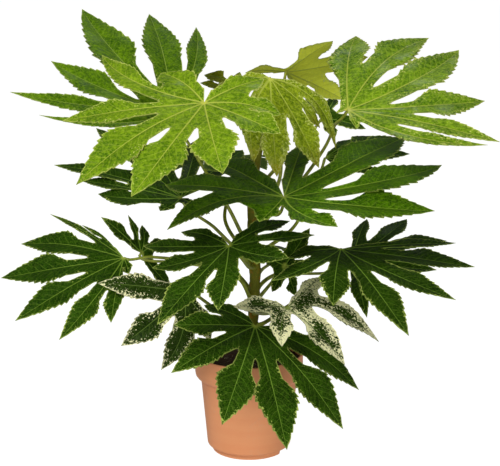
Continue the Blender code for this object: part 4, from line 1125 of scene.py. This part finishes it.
def stem_skin():
    """Young bark: olive green, browner in patches towards the soil, with corky specks and fine cracks."""
    material, tree, shader, where = new_skin("olive_bark")
    tone = {part: colour(*numbers) for part, numbers in BARK_COLOURS.items()}
    height = split(tree, where)[2]
    tall = add(tree, "ShaderNodeMapping", (("Vector", where), ("Scale", (420.0, 420.0, 60.0)))).outputs[0]
    cracks = noise(tree, tall, 1.0, 4.0, 0.65)
    patches = noise(tree, where, 55.0, 4.0, 0.6)
    surface = blend(tree, cracks, tone["dark"], tone["light"])
    brown = fade(tree, patches, 0.50, 0.64, 0.0, 0.75)
    brown = times(tree, brown, fade(tree, height, 0.30, 0.46, 1.0, 0.15))
    surface = blend(tree, brown, surface, tone["brown"])
    corky = fade(tree, noise(tree, where, 380.0, 2.0), 0.64, 0.70, 0.0, 0.6)
    surface = blend(tree, corky, surface, tone["cork"])
    relief = plus(tree, cracks, times(tree, corky, 0.6))
    feed(tree, shader, (("Base Color", surface), ("Roughness", 0.6), ("Specular IOR Level", 0.2),
                        ("Normal", bumped(tree, 0.8, 0.0009, relief))))
    return material


def turned(profile, sides, lift):
    """A closed body: a profile of (radius, height) places from axis to axis, turned about Z.
    lift(angle, radius, height) gives the heights that its rings get."""
    profile = np.array(profile, float)
    angle = 2 * math.pi * np.arange(sides) / sides
    radius = np.repeat(profile[1:-1, :1], sides, axis=1)
    height = lift(angle[None], radius, np.repeat(profile[1:-1, 1:], sides, axis=1))
    rings = np.stack((radius * np.cos(angle), radius * np.sin(angle), height), axis=-1)
    return closed_rings(rings, (0, 0, profile[0, 1]), (0, 0, profile[-1, 1]))


def rounded(profile, radius, steps=4):
    """A profile with each inner corner bent round from radius before it, or a third of its shorter side."""
    profile = np.array(profile, float)
    t = np.linspace(0, 1, steps + 1)[:, None]
    places = [profile[:1]]
    for before, corner, after in zip(profile, profile[1:], profile[2:]):
        cut = min(radius, np.linalg.norm(corner - before) / 3, np.linalg.norm(after - corner) / 3)
        a, b = corner + unit(before - corner) * cut, corner + unit(after - corner) * cut
        places.append((1 - t)**2 * a + 2 * t * (1 - t) * corner + t**2 * b)
    return np.concatenate(places + [profile[-1:]])


def drain_lift(angle, radius, height):
    """The foot ring's lower edge rises over each drain notch: flat-topped arches at DRAIN_ANGLES."""
    half = DRAIN_SIZE[1] / 2 / FOOT_RADIUS
    flat, slope = DRAIN_EDGE
    lift = np.zeros(np.broadcast_shapes(angle.shape, height.shape))
    for middle in DRAIN_ANGLES:
        away = np.abs((angle - math.radians(middle) + math.pi) % (2 * math.pi) - math.pi)
        lift = np.maximum(lift, DRAIN_SIZE[2] * (1 - smooth((away - half * flat) / (half * slope))))
    on_ring = radius > FOOT_RADIUS - 2 * POT_WALL
    return np.where(on_ring & (height < FOOT_HEIGHT - FOOT_BAND), np.maximum(height, lift), height)


def build_pot():
    """The cup, turned from the same profile as its solid, with its corners rounded."""
    wall = POT_WALL
    outside = [
        (0, 0), (BOSS_RADIUS, 0), (BOSS_RADIUS + 0.001, FLOOR_UNDER),
        (FOOT_RADIUS - wall, FLOOR_UNDER), (FOOT_RADIUS - wall, 0), (FOOT_RADIUS, 0),
        (FOOT_RADIUS, FOOT_HEIGHT - 0.0015), (FOOT_RADIUS + 0.003, FOOT_HEIGHT),
        (WALL_FOOT_RADIUS - 0.0012, FOOT_HEIGHT + 0.0008), (WALL_FOOT_RADIUS, FOOT_HEIGHT + 0.003),
        (WALL_TOP_RADIUS, COLLAR_BOTTOM - 0.003), (COLLAR_RADIUS - 0.0035, COLLAR_BOTTOM + 0.0005),
        (COLLAR_RADIUS - 0.0008, COLLAR_BOTTOM + 0.004), (COLLAR_RADIUS, COLLAR_BOTTOM + 0.009),
        (COLLAR_RADIUS, POT_HEIGHT - 0.0008), (COLLAR_RADIUS - 0.0008, POT_HEIGHT),
        (COLLAR_RADIUS - wall, POT_HEIGHT), (COLLAR_RADIUS - wall, COLLAR_BOTTOM + 0.008),
        (WALL_TOP_RADIUS - wall + 0.0015, COLLAR_BOTTOM + 0.002),
        (WALL_TOP_RADIUS - wall, COLLAR_BOTTOM - 0.002), (WALL_FOOT_RADIUS - wall, FOOT_HEIGHT + 0.0045),
        (WALL_FOOT_RADIUS - wall - 0.002, FLOOR_UNDER + wall), (0, FLOOR_UNDER + wall)]
    points, faces = turned(rounded(outside, POT_ROUNDING), POT_SIDES, drain_lift)
    new_piece("grow_pot", points, faces, [pot_skin()], "pot")


def crumbs_at(x, y):
    """Lumps and crumbs of soil: sine waves that cross at unlike angles, the short ones sharpened."""
    lumps = np.sin(151 * x + 1.3) * np.cos(173 * y - 0.4) + 0.6 * np.sin(283 * x - 211 * y + 2.0)
    fine = np.zeros_like(x)
    for number in range(CRUMB_WAVES):
        turn = CRUMB_TURNS[0] + CRUMB_TURNS[1] * number
        pace = CRUMB_PACES[0] + CRUMB_PACES[1] * number
        fine = fine + np.abs(np.sin(pace * (x * math.cos(turn) + y * math.sin(turn)) + number * 1.9))
    return SOIL_ROUGHNESS * lumps + SOIL_CRUMB * (fine / 4.5 - 1)


def build_soil():
    """The soil: a closed body whose top is rings of crumbs, and whose sides follow the inside of the pot."""
    wall = POT_WALL + GAP
    below = [(0, FLOOR_UNDER + wall), (WALL_FOOT_RADIUS - wall - 0.0025, FLOOR_UNDER + wall),
             (WALL_FOOT_RADIUS - wall - 0.0004, FOOT_HEIGHT + 0.0052),
             (WALL_TOP_RADIUS - wall - 0.0002, COLLAR_BOTTOM - 0.002),
             (WALL_TOP_RADIUS - wall + 0.0011, COLLAR_BOTTOM + 0.0028),
             (COLLAR_RADIUS - wall - 0.0004, COLLAR_BOTTOM + 0.0092)]
    top = [((COLLAR_RADIUS - wall - 0.0004) * share, SOIL_TOP) for share in np.linspace(1, 0.03, SOIL_RINGS)]

    def crumble(angle, radius, height):
        lifted = SOIL_TOP + crumbs_at(radius * np.cos(angle), radius * np.sin(angle))
        from_stem = (radius - SOIL_BANK_PLACES[0]) / SOIL_BANK_PLACES[1]
        banked = lifted + SOIL_BANK * (1 - smooth(from_stem))
        return np.where(height == SOIL_TOP, banked, height)

    points, faces = turned(below + top + [(0, SOIL_TOP + SOIL_BANK)], SOIL_SIDES, crumble)
    new_piece("potting_soil", points, faces, [soil_skin()], "soil")


def build_stem():
    """The stem: it swells just under each leaf joint, dips at a scar ring, and waves a little round it."""
    heights = np.linspace(STEM_LINE[0][2], STEM_LINE[-1][2], STEM_RINGS)
    axis, radius = stem_at(heights)
    kernel = np.hanning(2 * STEM_EASE + 1) / np.hanning(2 * STEM_EASE + 1).sum()
    padded = np.pad(axis[:, :2], ((STEM_EASE, STEM_EASE), (0, 0)), mode="edge")
    eased = np.stack([np.convolve(padded[:, k], kernel, "valid") for k in range(2)], axis=-1)
    axis = np.concatenate((eased, heights[:, None]), axis=1)
    swell = np.zeros_like(heights)
    for spec in LEAVES.values():
        off = (heights - spec["joint"]) / JOINT_LENGTH
        scar = (off - SCAR_PLACE) / SCAR_LENGTH
        swell += JOINT_SWELL * np.exp(-off**2) - SCAR_DIP * np.exp(-scar**2)
    angle = 2 * math.pi * np.arange(STEM_SIDES) / STEM_SIDES
    up = heights[:, None]
    ripple = sum(size * np.sin(count * angle + up * pace) for size, count, pace in STEM_WAVES)
    radius = radius * np.minimum(STEM_SHARES[0] + swell, STEM_SHARES[1])
    radius[-STEM_DOME:] *= np.sqrt(1 - (np.arange(STEM_DOME) / STEM_DOME)**2)
    points, faces = tube(axis, radius, STEM_SIDES, ripple)
    new_piece("trunk", points, faces, [stem_skin()], "stem")


def seen_white(tree, level):
    """FLOOR_GLOW to the eye itself, and a dimmer grey level to all that is lit by it."""
    straight = add(tree, "ShaderNodeLightPath").outputs["Is Camera Ray"]
    return blend(tree, straight, (level, level, level, 1), (FLOOR_GLOW, FLOOR_GLOW, FLOOR_GLOW, 1))


def build_stage():
    """A white floor in a white surround, both dimmer as light than as seen, and the soft sheets of light."""
    floor = bpy.data.meshes.new("floor")
    corners = [(x * FLOOR_REACH, y * FLOOR_REACH, 0) for x, y in ((-1, -1), (1, -1), (1, 1), (-1, 1))]
    floor.from_pydata(corners, [], [(0, 1, 2, 3)])
    white = bpy.data.materials.new("white_floor")
    white.use_nodes = True
    tree = white.node_tree
    feed(tree, tree.nodes["Principled BSDF"], (("Base Color", (FLOOR_SHADE, FLOOR_SHADE, FLOOR_SHADE, 1)),
                                               ("Roughness", 0.9), ("Specular IOR Level", 0.1),
                                               ("Emission Color", seen_white(tree, FLOOR_BOUNCE)),
                                               ("Emission Strength", 1.0)))
    floor.materials.append(white)
    new_thing("floor", floor)
    for name, place, aim, size, power in LIGHTS:
        light = bpy.data.lights.new(name, "AREA")
        light.shape, light.size, light.size_y, light.energy = "RECTANGLE", *size, power
        lamp = new_thing(name, light)
        lamp.visible_camera = False
        lamp.location = place
        lamp.rotation_euler = (Vector(aim) - Vector(place)).to_track_quat("-Z", "Y").to_euler()
    world = bpy.data.worlds.new("surround")
    world.use_nodes = True
    around = world.node_tree
    feed(around, around.nodes["Background"], (("Color", seen_white(around, SURROUND)), ("Strength", 1.0)))
    bpy.context.scene.world = world
    bpy.context.scene.view_settings.view_transform = "Standard"


def build_camera():
    """The eye that the leaf places are read from, EYE_FOCAL away from a frame PICTURE_WIDTH wide."""
    lens = bpy.data.cameras.new("eye")
    lens.sensor_width = SENSOR_WIDTH
    lens.sensor_fit = "HORIZONTAL"
    lens.lens = SENSOR_WIDTH * EYE_FOCAL / PICTURE_WIDTH
    lens.clip_end = 100.0
    camera = new_thing("eye", lens)
    camera.location = EYE
    camera.rotation_euler = (math.pi / 2 - EYE_PITCH, 0, 0)
    bpy.context.scene.camera = camera


build_camera()
build_stage()
build_pot()
build_soil()
build_stem()
for number, (node_name, spec) in enumerate(LEAVES.items()):
    build_leaf(node_name, spec, number)
